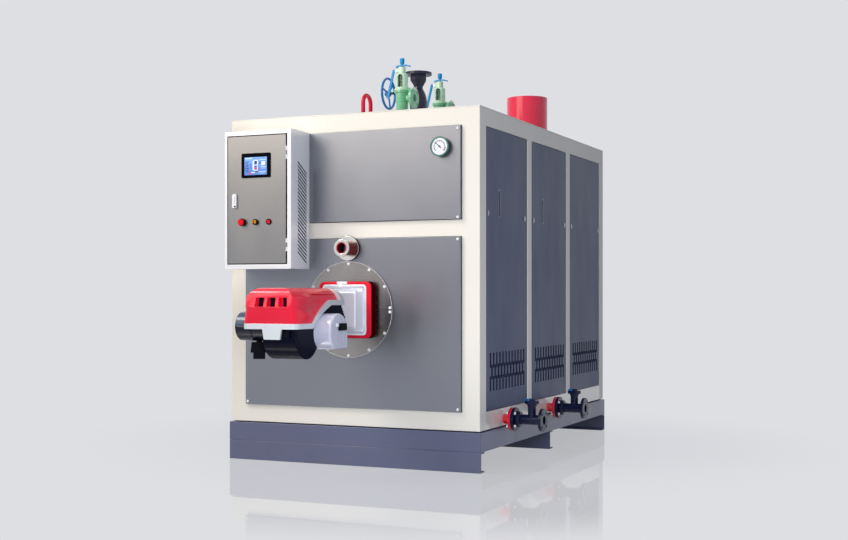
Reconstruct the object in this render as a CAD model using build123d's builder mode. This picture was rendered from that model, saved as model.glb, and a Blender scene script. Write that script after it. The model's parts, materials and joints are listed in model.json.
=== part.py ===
from build123d import *
import os
from math import atan2, cos, degrees, radians, sin, sqrt

os.makedirs("parts", exist_ok=True)

# Casing. The front looks towards -Y, the side with the blowdown valves towards +X,
# and the floor is at Z = 0.
casing_width = 1700
casing_length = 2590
casing_height = 1916

# Steel channels under the casing
skid_height = 121
base_beam_height = 115
base_overhang = 10
channel_flange = 60
channel_web = 8
channel_flange_thickness = 10

# White frame of the casing
shadow_gap = 6
shadow_recess = 20
corner_post_width = 112
corner_post_depth = 98
side_post_width = 84
frame_depth = 60
bottom_rail_height = 109
top_rail_height = 104
lower_panel_height = 1038
cross_rail_height = 96
roof_thickness = 6

# Panels in the frame
panel_reveal = 3
front_panel_proud = 20
panel_recess = 4
door_count = 3

# Louvres near the foot of each side panel
louvre_pitch = 54
louvre_width = 24
louvre_height = 90
louvre_row_pitch = 70
louvre_depth = 10
louvre_mouth = 7
louvre_mouth_depth = 30
louvre_shift = 10
louvres_in_row = (12, 11, 12)
louvre_bottom_margin = 115

# Finger slots of the side panels
slot_width = 20
slot_height = 162
slot_depth = 14
slot_inset = 230
slot_centre_height = 1243
slotted_doors = 2

# Burner plate: a round steel plate in two halves on the lower panel. The burner's axis
# lies a given rise above the lower edge of that panel.
burner_x = 4
burner_rise = 601
plate_radius = 293
plate_thickness = 10
plate_split = 2

# Red mounting frame and white tray between the plate and the burner
mount_width = 354
mount_height = 342
mount_offset = 5
mount_depth = 60
mount_corner = 35
tray_width = 296
tray_height = 306
tray_corner = 22
tray_floor = 15
tray_lip = 10
tray_draft = 16
neck_width = 194
neck_height = 203
neck_flange_width = 212
neck_flange_height = 221
neck_flange_depth = 98

# Burner hood, its rim and the dark casting below. Reach is counted from the frame's front
# and height, up or down, from the burner's axis.
hood_reach = 960
hood_back_reach = 433
rim_back_reach = 389
hood_half_width = 175
hood_offset = -11
hood_foot_level = -66
hood_top_level = 129
hood_brow_level = 23
hood_lean = 30
hood_crown = 45
ridge_proud = 4
ridge_dip_reach = 815
ridge_dip_level = -12
ridge_rise_reach = 720
ridge_rise_level = 96
hood_shoulder = 92
hood_corner = 45
rim_height = 30
arch_centre_reach = 370
arch_centre_level = -514
arch_radius = 604
hood_back_level = 62
rim_inset = 3
ring_inset = 4
window_count = 3
window_width = 60
window_level = 51
window_pitch = 81
window_offset = 7
window_height = 50
window_depth = 50
tab_half_width = 60
tab_foot_half_width = 50
tab_drop = 56
tab_thickness = 14
tab_offset = 12

# Fan, motor, air box and terminal box of the burner
fan_reach = 787
fan_level = -129
fan_radius = 135
fan_left = 66
fan_right = 135
housing_front_reach = 905
housing_front_level = -152
housing_back_reach = 335
housing_back_level = -47
housing_step_level = -102
belly_back_reach = 480
belly_back_level = -190
belly_front_reach = 700
belly_front_level = -207
motor_level = -85
motor_radius = 80
motor_length = 226
motor_dome = 14
motor_groove = 4
motor_clearance = 3
air_box_reach = 606
air_box_radius = 106
air_box_level = -119
air_box_foot_level = -213
air_box_width = 104
air_box_edge = 9
cover_reach = 577
cover_level = -89
cover_length = 80
cover_height = 40
cover_thickness = 14
terminal_offset = 169
terminal_width = 84
terminal_length = 56
terminal_turn = 30
terminal_top_level = -173
terminal_height = 58
terminal_draft = 6
terminal_step = 36
terminal_step_width = 66
terminal_step_length = 44
terminal_neck = 34
casting_ribs = 5
casting_rib_width = 7
casting_rib_proud = 7

# Sight port above the burner
sight_drop = 64
sight_flange_radius = 75
sight_flange_thickness = 18
sight_tube_radius = 43
sight_bore_radius = 35
sight_ring_radius = 52
sight_ring_thickness = 12
sight_reach = 120

# Pressure gauge on the upper panel
gauge_inset = 124
gauge_drop = 127
gauge_case_radius = 50
gauge_bezel_radius = 59
gauge_dial_radius = 50
gauge_depth = 35
gauge_bezel_depth = 11
gauge_dial_depth = 4
gauge_glass_depth = 5

# Control cabinet on the front
cabinet_inset = 110
cabinet_width = 468
cabinet_drop = 189
cabinet_height = 844
cabinet_depth = 230
cabinet_wall = 6
door_inset = 23
door_leaf_width = 409
door_rise = 34
door_height = 777
door_thickness = 20
door_gap = 6
hinge_gap = 10
hinge_radius = 4.6
hinge_play = 0.4
hinge_leaf = 4
hinge_knuckle = 26
hinge_inset = 110
back_plate_width = 380
back_plate_height = 740
back_plate_thickness = 3
back_plate_spacer = 20
spacer_radius = 8
spacer_inset = 20
cabinet_slot_count = 25
cabinet_slot_pitch = 22.8
cabinet_slot_width = 5
cabinet_slot_margin = 190
cabinet_slot_front = 82
cabinet_slot_run = 109
cabinet_slot_drop = 66
screen_inset = 224.5
screen_rise = 631
screen_width = 204
screen_height = 150
screen_proud = 6
screen_body_margin = 8
screen_body_depth = 34
button_rise = 286
button_insets = (130, 222, 314)
operator_neck_radius = 11
bezel_radius = 15
bezel_proud = 4
stop_head_radius = 20
stop_proud = 30
selector_radius = 12
selector_proud = 22
push_radius = 12
push_proud = 9
switch_block = 30
switch_block_depth = 44
handle_inset = 74
handle_rise = 417
handle_width = 30
handle_height = 86
handle_corner = 8
handle_proud = 12

# Blowdown valves on the right side. Places along the casing are counted from its front.
blowdown_rise = 41
blowdown_offsets = (410, 1275)
stub_radius = 30.5
stub_length = 42
joint_flange_radius = 71.5
joint_flange_thickness = 18
gasket_thickness = 4
gasket_radius = 62
valve_flange_end = 80
valve_ball_end = 109
valve_ball_radius = 49
valve_ball_slope = 5
valve_pipe_radius = 31
end_flange_radius = 70
end_flange_thickness = 18
valve_length = 256
bolt_circle_radius = 55
bolt_count = 4
bolt_angle = 45
bolt_hole_radius = 9
pipe_bore_radius = 27
end_bore_length = 90
stem_neck_reach = 178
stem_neck_radius = 25
stem_neck_height = 97
stem_collar_radius = 30
stem_collar_height = 12
stem_cap_length = 88
stem_cap_width = 58
stem_cap_thickness = 19
stem_knob_radius = 20
stem_knob_height = 12

# Lifting ring on the roof: a bow on two legs
ring_offset = 226
ring_radius = 51.5
ring_wire_radius = 13
ring_arch_height = 88.5
ring_foot_length = 150
ring_foot_width = 40
ring_foot_height = 14

# Safety valves. Heights are counted from the roof.
safety_offsets = (750, 1385)
safety_inlet_radius = 30
safety_flange_radius = 70
safety_flange_bottom = 30
safety_flange_thickness = 16
safety_foot_radius = 39.5
safety_foot_bottom = 110
safety_foot_slope = 10
safety_body_bottom = 171
safety_body_slope = 5
safety_body_radius = 43.5
bonnet_flange_bottom = 232
bonnet_flange_radius = 53
bonnet_bottom = 258
bonnet_radius = 39
bonnet_shoulder = 353
bonnet_shoulder_height = 11
bonnet_neck_radius = 23.5
bonnet_top = 404
bonnet_cavity_radius = 30
bonnet_window_width = 37
bonnet_window_bottom = 268
bonnet_window_height = 85
spring_radius = 20
spring_wire_radius = 3.2
spring_coils = 6
spring_seat_gap = 0.3
outlet_z = 195
outlet_reach = 92
outlet_neck_radius = 24
outlet_cone_start = 45
outlet_cone_radius = 36
outlet_flange_radius = 70
outlet_flange_thickness = 16
outlet_bore_radius = 26
spindle_radius = 6
cap_neck_radius = 9
cap_neck_top = 420
cap_bottom = 432
cap_radius = 15.5
cap_top = 462
fork_left = 42
fork_right = 57
fork_rise = 8
fork_bottom = 403
fork_thickness = 8
fork_width = 26
lever_pivot_x = -40
lever_pivot_height = 378
lever_elbow_x = -62
lever_elbow_height = 383
lever_tip_x = -104
lever_tip_height = 212
lever_width = 16
lever_thickness = 10
lever_eye_radius = 13
lever_eye_bore = 7
ear_thickness = 5
ear_gap = 0.5
ear_radius = 9
pivot_radius = 4
pivot_play = 0.3

# Steam stop valve. Heights are counted from the roof.
stop_offset = 1011
stop_inlet_radius = 42
stop_foot_bottom = 26
stop_flange_radius = 92.5
stop_flange_thickness = 18
stop_bulb_bottom = 120
stop_bulb_radius = 60
stop_bulb_centre = 210
stop_waist = 299
stop_waist_radius = 31
stop_waist_rise = 12
stop_lobe_foot_radius = 26
stop_lobe = 355
stop_lobe_radius = 58
stop_lobe_sides = 8
stop_height = 409
stop_bore_radius = 32.5
stop_bore_length = 50
stop_hole_circle_radius = 72.5
stop_hole_radius = 9
stop_hole_count = 8
spindle_height = 280
side_bonnet_radius = 30
side_bonnet_reach = 96
side_flange_radius = 42
side_flange_thickness = 12
gland_radius = 20
gland_reach = 140
gland_bore = 9.4
gland_depth = 40
stem_radius = 9
wheel_reach = 226
wheel_radius = 112
wheel_rim = 8.5
wheel_hub_radius = 20
wheel_hub_length = 26
wheel_spokes = 3
wheel_first_spoke = 45
wheel_spoke_step = 120
wheel_spoke_radius = 6
stem_nut_radius = 14
stem_nut_length = 10
wheel_play = 0.1

# Flue outlet on the roof
flue_x = 317
flue_offset = 239
flue_radius = 155
flue_wall = 6
flue_height = 401

# Shared small sizes
edge_break = 2
moving_gap = 5

base_top = skid_height + base_beam_height
frame_bottom = base_top + shadow_gap
casing_top = base_top + casing_height
rail_top = casing_top - roof_thickness
panel_bottom = frame_bottom + bottom_rail_height
panel_top = rail_top - top_rail_height
cross_rail_bottom = panel_bottom + lower_panel_height
cross_rail_top = cross_rail_bottom + cross_rail_height
half_width = casing_width / 2
half_length = casing_length / 2
core_x = half_width - frame_depth
core_y = half_length - frame_depth
base_width = casing_width + 2 * base_overhang
base_length = casing_length + 2 * base_overhang
front_face = -half_length
panel_face = front_face - front_panel_proud
side_length = casing_length - 2 * corner_post_depth
door_width = (side_length - (door_count - 1) * side_post_width) / door_count
louvre_bottom = panel_bottom + louvre_bottom_margin

# Places that follow the casing
cabinet_left = cabinet_inset - half_width
cabinet_bottom = cross_rail_bottom - cabinet_drop
screen_x = cabinet_left + screen_inset
screen_z = cabinet_bottom + screen_rise
button_z = cabinet_bottom + button_rise
button_positions = [cabinet_left + inset for inset in button_insets]
handle_x = cabinet_left + handle_inset
handle_z = cabinet_bottom + handle_rise
sight_z = cross_rail_bottom - sight_drop
gauge_x = half_width - corner_post_width - gauge_inset
gauge_z = panel_top - gauge_drop
blowdown_z = frame_bottom + blowdown_rise
blowdown_positions = [front_face + offset for offset in blowdown_offsets]
ring_y = front_face + ring_offset
safety_positions = [front_face + offset for offset in safety_offsets]
stop_y = front_face + stop_offset
flue_y = half_length - flue_offset

# Heights of the burner
burner_z = panel_bottom + burner_rise
hood_foot_z = burner_z + hood_foot_level
hood_top_z = burner_z + hood_top_level
hood_brow_z = burner_z + hood_brow_level
arch_centre_z = burner_z + arch_centre_level
hood_back_z = burner_z + hood_back_level
window_z = burner_z + window_level
fan_z = burner_z + fan_level
housing_front_z = burner_z + housing_front_level
housing_back_z = burner_z + housing_back_level
housing_step_z = burner_z + housing_step_level
belly_back_z = burner_z + belly_back_level
belly_front_z = burner_z + belly_front_level
motor_z = burner_z + motor_level
air_box_z = burner_z + air_box_level
air_box_foot_z = burner_z + air_box_foot_level
cover_z = burner_z + cover_level
terminal_top_z = burner_z + terminal_top_level
ridge_dip_z = burner_z + ridge_dip_level
ridge_rise_z = burner_z + ridge_rise_level


def bar(low, high, mode=Mode.ADD):
    """A square-edged bar between two opposite corners."""
    with BuildSketch(Plane.XY.offset(low[2])) as foot:
        with Locations(((low[0] + high[0]) / 2, (low[1] + high[1]) / 2)):
            Rectangle(high[0] - low[0], high[1] - low[1])
    extrude(foot.sketch, amount=high[2] - low[2], mode=mode)


def rod(start, direction, radius, length, mode=Mode.ADD):
    """A round bar that starts at a point and runs in a direction."""
    with BuildSketch(Plane(origin=start, z_dir=direction)) as end:
        Circle(radius)
    extrude(end.sketch, amount=length, mode=mode)


def turned(start, direction, outline, mode=Mode.ADD):
    """A turned piece: the outline gives the distance along the axis and the radius."""
    across = (1, 0, 0) if direction[1] else (0, -1, 0)
    with BuildSketch(Plane(origin=start, x_dir=direction, z_dir=across)) as half_section:
        with BuildLine():
            Polyline(*outline, close=True)
        make_face()
    revolve(half_section.sketch, axis=Axis(start, direction), mode=mode)


def front_plane(y):
    """A plane that faces the front, on which X and Z are drawn as they are."""
    return Plane(origin=(0, y, 0), x_dir=(1, 0, 0), z_dir=(0, -1, 0))


def side_plane(x):
    """A plane that faces +X, on which Y and Z are drawn as they are."""
    return Plane(origin=(x, 0, 0), x_dir=(0, 1, 0), z_dir=(1, 0, 0))


# Skid beams: three channels across the floor, the middle one under the origin
def skid_channel(web_face, inward):
    """One channel across the whole width, with its web at web_face."""
    tip = web_face + inward * channel_flange
    root = web_face + inward * channel_web
    with BuildSketch(side_plane(-base_width / 2)) as section:
        with BuildLine():
            Polyline(
                (web_face, 0),
                (tip, 0),
                (tip, channel_flange_thickness),
                (root, channel_flange_thickness),
                (root, skid_height - channel_flange_thickness),
                (tip, skid_height - channel_flange_thickness),
                (tip, skid_height),
                (web_face, skid_height),
                close=True,
            )
        make_face()
    extrude(section.sketch, amount=base_width)


with BuildPart() as skid_beams:
    skid_channel(-base_length / 2, 1)
    skid_channel(-channel_flange / 2, 1)
    skid_channel(base_length / 2, -1)
skid_beams.part.label = "skid_beams"
export_step(skid_beams.part, "parts/skid_beams.step")


# Base ring: four channels with their webs outwards, mitred at the corners
def mitred_channel(place, along, length):
    """One channel of the ring, from its outer foot edge inwards."""
    half = length / 2
    tip = half - channel_flange
    root = half - channel_web
    cavity = (place[0], place[1], place[2] + channel_flange_thickness)
    with BuildSketch(Plane(origin=place, x_dir=along, z_dir=(0, 0, 1))) as outer:
        with BuildLine():
            Polyline(
                (-half, 0),
                (half, 0),
                (tip, channel_flange),
                (-tip, channel_flange),
                close=True,
            )
        make_face()
    extrude(outer.sketch, amount=base_beam_height)
    with BuildSketch(Plane(origin=cavity, x_dir=along, z_dir=(0, 0, 1))) as trough:
        with BuildLine():
            Polyline(
                (-root, channel_web),
                (root, channel_web),
                (tip, channel_flange),
                (-tip, channel_flange),
                close=True,
            )
        make_face()
    trough_height = base_beam_height - 2 * channel_flange_thickness
    extrude(trough.sketch, amount=trough_height, mode=Mode.SUBTRACT)


with BuildPart() as base_side_beams:
    mitred_channel((base_width / 2, 0, skid_height), (0, 1, 0), base_length)
    mitred_channel((-base_width / 2, 0, skid_height), (0, -1, 0), base_length)
base_side_beams.part.label = "base_side_beams"
export_step(base_side_beams.part, "parts/base_side_beams.step")

with BuildPart() as base_end_beams:
    mitred_channel((0, -base_length / 2, skid_height), (1, 0, 0), base_width)
    mitred_channel((0, base_length / 2, skid_height), (-1, 0, 0), base_width)
base_end_beams.part.label = "base_end_beams"
export_step(base_end_beams.part, "parts/base_end_beams.step")

# Insulated body inside the frame, on the floor plate that carries it on the base ring
floor_x = half_width - shadow_recess
floor_y = half_length - shadow_recess

with BuildPart() as insulated_body:
    bar((-floor_x, -floor_y, base_top), (floor_x, floor_y, frame_bottom))
    bar((-core_x, -core_y, frame_bottom), (core_x, core_y, rail_top))
insulated_body.part.label = "insulated_body"
export_step(insulated_body.part, "parts/insulated_body.step")

# Corner posts: folded angles that wrap the body's corners
with BuildPart() as corner_posts:
    with BuildSketch(Plane.XY.offset(frame_bottom)):
        for side in (-1, 1):
            for end in (-1, 1):
                with BuildLine():
                    Polyline(
                        (side * half_width, end * half_length),
                        (side * (half_width - corner_post_width), end * half_length),
                        (side * (half_width - corner_post_width), end * core_y),
                        (side * core_x, end * core_y),
                        (side * core_x, end * (half_length - corner_post_depth)),
                        (side * half_width, end * (half_length - corner_post_depth)),
                        close=True,
                    )
                make_face()
    extrude(amount=rail_top - frame_bottom)
corner_posts.part.label = "corner_posts"
export_step(corner_posts.part, "parts/corner_posts.step")


def door_start(index):
    """Where a side panel's opening begins along Y, counted from the front."""
    return -half_length + corner_post_depth + index * (door_width + side_post_width)


# Side posts between the panels
with BuildPart() as side_posts:
    for side in (-1, 1):
        for index in range(1, door_count):
            inner, outer = sorted((side * core_x, side * half_width))
            post_end = door_start(index)
            bar((inner, post_end - side_post_width, panel_bottom), (outer, post_end, panel_top))
side_posts.part.label = "side_posts"
export_step(side_posts.part, "parts/side_posts.step")


def rail_ring(bottom, top):
    """Four rails round the casing between the corner posts."""
    front_end = half_width - corner_post_width
    side_end = half_length - corner_post_depth
    bar((-front_end, -half_length, bottom), (front_end, -core_y, top))
    bar((-front_end, core_y, bottom), (front_end, half_length, top))
    bar((-half_width, -side_end, bottom), (-core_x, side_end, top))
    bar((core_x, -side_end, bottom), (half_width, side_end, top))


with BuildPart() as bottom_rails:
    rail_ring(frame_bottom, panel_bottom)
bottom_rails.part.label = "bottom_rails"
export_step(bottom_rails.part, "parts/bottom_rails.step")

with BuildPart() as top_rails:
    rail_ring(panel_top, rail_top)
top_rails.part.label = "top_rails"
export_step(top_rails.part, "parts/top_rails.step")

panel_half_width = half_width - corner_post_width

with BuildPart() as cross_rails:
    bar((-panel_half_width, -half_length, cross_rail_bottom), (panel_half_width, -core_y, cross_rail_top))
    bar((-panel_half_width, core_y, cross_rail_bottom), (panel_half_width, half_length, cross_rail_top))
cross_rails.part.label = "cross_rails"
export_step(cross_rails.part, "parts/cross_rails.step")

with BuildPart() as roof_panel:
    bar((-half_width, -half_length, rail_top), (half_width, half_length, casing_top))
roof_panel.part.label = "roof_panel"
export_step(roof_panel.part, "parts/roof_panel.step")

# Front and rear panels
panel_x = panel_half_width - panel_reveal

with BuildPart() as front_lower_panel:
    bar(
        (-panel_x, panel_face, panel_bottom + panel_reveal),
        (panel_x, -core_y, cross_rail_bottom - panel_reveal),
    )
front_lower_panel.part.label = "front_lower_panel"
export_step(front_lower_panel.part, "parts/front_lower_panel.step")

with BuildPart() as front_upper_panel:
    bar(
        (-panel_x, panel_face, cross_rail_top + panel_reveal),
        (panel_x, -core_y, panel_top - panel_reveal),
    )
front_upper_panel.part.label = "front_upper_panel"
export_step(front_upper_panel.part, "parts/front_upper_panel.step")

with BuildPart() as rear_panels:
    rear_face = half_length - panel_recess
    bar(
        (-panel_x, core_y, panel_bottom + panel_reveal),
        (panel_x, rear_face, cross_rail_bottom - panel_reveal),
    )
    bar(
        (-panel_x, core_y, cross_rail_top + panel_reveal),
        (panel_x, rear_face, panel_top - panel_reveal),
    )
rear_panels.part.label = "rear_panels"
export_step(rear_panels.part, "parts/rear_panels.step")


# Side panels with louvres and, on the two nearest the front, a finger slot
def louvre_row(side, centre, foot_z, count):
    """One row of louvres: each lip slants inwards to a narrow open mouth at its rear edge."""
    face = half_width - panel_recess
    lip = louvre_width - louvre_mouth
    with BuildSketch(Plane.XY.offset(foot_z)) as row:
        for louvre in range(count):
            start = centre + (louvre - (count - 1) / 2) * louvre_pitch - louvre_width / 2
            with BuildLine():
                Polyline(
                    (side * face, start),
                    (side * (face - louvre_depth), start + lip),
                    (side * (face - louvre_mouth_depth), start + lip),
                    (side * (face - louvre_mouth_depth), start + louvre_width),
                    (side * face, start + louvre_width),
                    close=True,
                )
            make_face()
    extrude(row.sketch, amount=louvre_height, mode=Mode.SUBTRACT)


def side_panel(side, index):
    """One lift-off side panel."""
    start = door_start(index)
    face = half_width - panel_recess
    middle = start + door_width / 2
    inner, outer = sorted((side * core_x, side * face))
    bar(
        (inner, start + panel_reveal, panel_bottom + panel_reveal),
        (outer, start + door_width - panel_reveal, panel_top - panel_reveal),
    )
    for row, count in enumerate(louvres_in_row):
        louvre_row(side, middle + louvre_shift, louvre_bottom + row * louvre_row_pitch, count)
    if index < slotted_doors:
        with BuildSketch(side_plane(side * face)) as slot:
            with Locations((start + slot_inset, panel_bottom + slot_centre_height)):
                SlotOverall(slot_height, slot_width, rotation=90)
        extrude(slot.sketch, amount=-side * slot_depth, mode=Mode.SUBTRACT)


with BuildPart() as side_panels_right:
    for door in range(door_count):
        side_panel(1, door)
side_panels_right.part.label = "side_panels_right"
export_step(side_panels_right.part, "parts/side_panels_right.step")

with BuildPart() as side_panels_left:
    for door in range(door_count):
        side_panel(-1, door)
side_panels_left.part.label = "side_panels_left"
export_step(side_panels_left.part, "parts/side_panels_left.step")


def reach_y(reach):
    """The Y of a point that stands a given reach in front of the frame."""
    return front_face - reach


# Burner plate in two halves
plate_face = panel_face - plate_thickness


def plate_half(upper):
    """One half of the round plate, cut off along the split line."""
    with BuildSketch(front_plane(panel_face)) as outline:
        with Locations((burner_x, burner_z)):
            Circle(plate_radius)
        with Locations((burner_x, burner_z + upper * (plate_radius + plate_split / 2))):
            Rectangle(2 * plate_radius, 2 * plate_radius, mode=Mode.INTERSECT)
    extrude(outline.sketch, amount=plate_thickness)


with BuildPart() as burner_plate_upper:
    plate_half(1)
burner_plate_upper.part.label = "burner_plate_upper"
export_step(burner_plate_upper.part, "parts/burner_plate_upper.step")

with BuildPart() as burner_plate_lower:
    plate_half(-1)
burner_plate_lower.part.label = "burner_plate_lower"
export_step(burner_plate_lower.part, "parts/burner_plate_lower.step")

# Red mounting frame
with BuildPart() as burner_mounting_frame:
    with BuildSketch(front_plane(plate_face)):
        with Locations((burner_x + mount_offset, burner_z)):
            RectangleRounded(mount_width, mount_height, mount_corner)
        with Locations((burner_x, burner_z)):
            RectangleRounded(tray_width, tray_height, tray_corner, mode=Mode.SUBTRACT)
    extrude(amount=mount_depth)
burner_mounting_frame.part.label = "burner_mounting_frame"
export_step(burner_mounting_frame.part, "parts/burner_mounting_frame.step")

# White tray with drafted walls inside the frame
tray_face = plate_face - mount_depth
tray_floor_face = plate_face - tray_floor

with BuildPart() as burner_tray:
    with BuildSketch(front_plane(plate_face)):
        with Locations((burner_x, burner_z)):
            RectangleRounded(tray_width, tray_height, tray_corner)
    extrude(amount=mount_depth)
    with BuildSketch(front_plane(tray_face)):
        with Locations((burner_x, burner_z)):
            RectangleRounded(tray_width - 2 * tray_lip, tray_height - 2 * tray_lip, tray_corner)
    extrude(amount=-(mount_depth - tray_floor), taper=tray_draft, mode=Mode.SUBTRACT)
burner_tray.part.label = "burner_tray"
export_step(burner_tray.part, "parts/burner_tray.step")

# Neck between the tray and the burner
rim_back_y = reach_y(rim_back_reach)

with BuildPart() as burner_neck:
    with BuildSketch(front_plane(tray_floor_face)):
        with Locations((burner_x, burner_z)):
            Rectangle(neck_width, neck_height)
    extrude(amount=tray_floor_face - rim_back_y)
    with BuildSketch(front_plane(tray_floor_face)):
        with Locations((burner_x, burner_z)):
            Rectangle(neck_flange_width, neck_flange_height)
    extrude(amount=neck_flange_depth)
burner_neck.part.label = "burner_neck"
export_step(burner_neck.part, "parts/burner_neck.step")


# Lower edge of the hood: level in front, then an arch up to the back
def arch_point(radius, height):
    """Where the arch of a given radius passes a height."""
    reach = arch_centre_reach + sqrt(radius**2 - (height - arch_centre_z) ** 2)
    return (reach_y(reach), height)


rim_radius = arch_radius - rim_height
rim_foot_z = hood_foot_z - rim_height
rim_back_z = hood_back_z - rim_height
hood_arch_foot = arch_point(arch_radius, hood_foot_z)
hood_arch_middle = arch_point(arch_radius, (hood_foot_z + hood_back_z) / 2)
hood_arch_head = arch_point(arch_radius, hood_back_z)
rim_arch_foot = arch_point(rim_radius, rim_foot_z)
rim_arch_middle = arch_point(rim_radius, (rim_foot_z + rim_back_z) / 2)
rim_arch_head = arch_point(rim_radius, rim_back_z)
hood_x = burner_x + hood_offset
hood_front_y = reach_y(hood_reach)
hood_back_y = reach_y(hood_back_reach)
motor_y = reach_y(fan_reach)
fan_left_x = burner_x - fan_left
fan_right_x = burner_x + fan_right


def front_section(half_span, foot_z, top_z):
    """Outline seen from the front: upright sides that round over into a flat top."""
    with BuildSketch(front_plane(hood_front_y)) as outline:
        with Locations((hood_x, (foot_z + top_z) / 2)):
            Rectangle(2 * half_span, top_z - foot_z)
        fillet(outline.vertices().group_by(Axis.Y)[-1], hood_shoulder)
    return outline.sketch


def plan_section(half_span, front_y, back_y):
    """Outline seen from above, with round front corners."""
    with BuildSketch() as outline:
        with Locations((hood_x, (front_y + back_y) / 2)):
            Rectangle(2 * half_span, back_y - front_y)
        fillet(outline.vertices().group_by(Axis.Y)[0], hood_corner)
    return outline.sketch


def motor_opening():
    """Round way through the left flank for the motor."""
    opening = motor_radius + motor_clearance
    rod((fan_left_x, motor_y, motor_z), (-1, 0, 0), opening, hood_half_width, mode=Mode.SUBTRACT)


# Red hood: a lower shell and, above the ridge line, an upper shell that stands proud of it
def hood_side(upper):
    """Side profile of the whole hood, or of its upper shell alone."""
    with BuildSketch(side_plane(hood_x)) as profile:
        with BuildLine():
            Polyline(
                hood_arch_foot,
                (hood_front_y, hood_foot_z),
                (hood_front_y, hood_brow_z),
                (hood_front_y + hood_lean, hood_top_z),
                (hood_back_y, hood_top_z),
                (hood_back_y, hood_back_z),
                hood_arch_head,
            )
            ThreePointArc(hood_arch_head, hood_arch_middle, hood_arch_foot)
        make_face()
        fillet(profile.vertices().group_by(Axis.Y)[-1].sort_by(Axis.X)[0], hood_crown)
        if upper:
            with BuildLine():
                Polyline(
                    (hood_front_y, hood_top_z),
                    (hood_front_y, hood_brow_z),
                    (hood_front_y + hood_corner, hood_brow_z),
                    (reach_y(ridge_dip_reach), ridge_dip_z),
                    (reach_y(ridge_rise_reach), ridge_rise_z),
                    (hood_back_y, ridge_rise_z),
                    (hood_back_y, hood_top_z),
                    close=True,
                )
            make_face(mode=Mode.INTERSECT)
    return profile.sketch


def hood_shell(upper, inset):
    """One shell of the hood, drawn in by an inset at the flanks, the front and the top."""
    profile = extrude(hood_side(upper), amount=hood_half_width, both=True, mode=Mode.PRIVATE)
    section = front_section(hood_half_width - inset, hood_foot_z, hood_top_z - inset)
    across = extrude(section, amount=hood_front_y - hood_back_y, mode=Mode.PRIVATE)
    outline = plan_section(hood_half_width - inset, hood_front_y + inset, hood_back_y)
    plan = extrude(outline, amount=hood_top_z, mode=Mode.PRIVATE)
    return profile & across & plan


with BuildPart() as burner_hood:
    add(hood_shell(False, ridge_proud))
    add(hood_shell(True, 0))
    with BuildSketch(front_plane(hood_front_y)):
        with Locations((burner_x + window_offset, window_z)):
            with GridLocations(window_pitch, window_height, window_count, 1):
                Rectangle(window_width, window_height)
    extrude(amount=-window_depth, mode=Mode.SUBTRACT)
    motor_opening()
burner_hood.part.label = "burner_hood"
export_step(burner_hood.part, "parts/burner_hood.step")

# Silver rim below the hood, its back ring and its front tab
with BuildPart() as burner_rim:
    with BuildSketch(side_plane(hood_x)):
        with BuildLine():
            Line((hood_front_y, hood_foot_z), hood_arch_foot)
            ThreePointArc(hood_arch_foot, hood_arch_middle, hood_arch_head)
            Polyline(
                hood_arch_head,
                (hood_back_y, hood_back_z),
                (hood_back_y, hood_top_z),
                (rim_back_y, hood_top_z),
                (rim_back_y, rim_back_z),
                rim_arch_head,
            )
            ThreePointArc(rim_arch_head, rim_arch_middle, rim_arch_foot)
            Polyline(rim_arch_foot, (hood_front_y, rim_foot_z), (hood_front_y, hood_foot_z))
        make_face()
    extrude(amount=hood_half_width, both=True)
    across = front_section(hood_half_width - rim_inset, rim_foot_z, hood_top_z - ring_inset)
    extrude(across, amount=hood_front_y - rim_back_y, mode=Mode.INTERSECT)
    plan = plan_section(hood_half_width - rim_inset, hood_front_y + rim_inset, rim_back_y)
    extrude(plan, amount=hood_top_z, mode=Mode.INTERSECT)
    with BuildSketch(front_plane(hood_front_y + rim_inset)):
        with BuildLine():
            tab_x = burner_x + tab_offset
            Polyline(
                (tab_x - tab_half_width, rim_foot_z),
                (tab_x + tab_half_width, rim_foot_z),
                (tab_x + tab_foot_half_width, rim_foot_z - tab_drop),
                (tab_x - tab_foot_half_width, rim_foot_z - tab_drop),
                close=True,
            )
        make_face()
    extrude(amount=-tab_thickness)
    motor_opening()
burner_rim.part.label = "burner_rim"
export_step(burner_rim.part, "parts/burner_rim.step")

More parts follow.
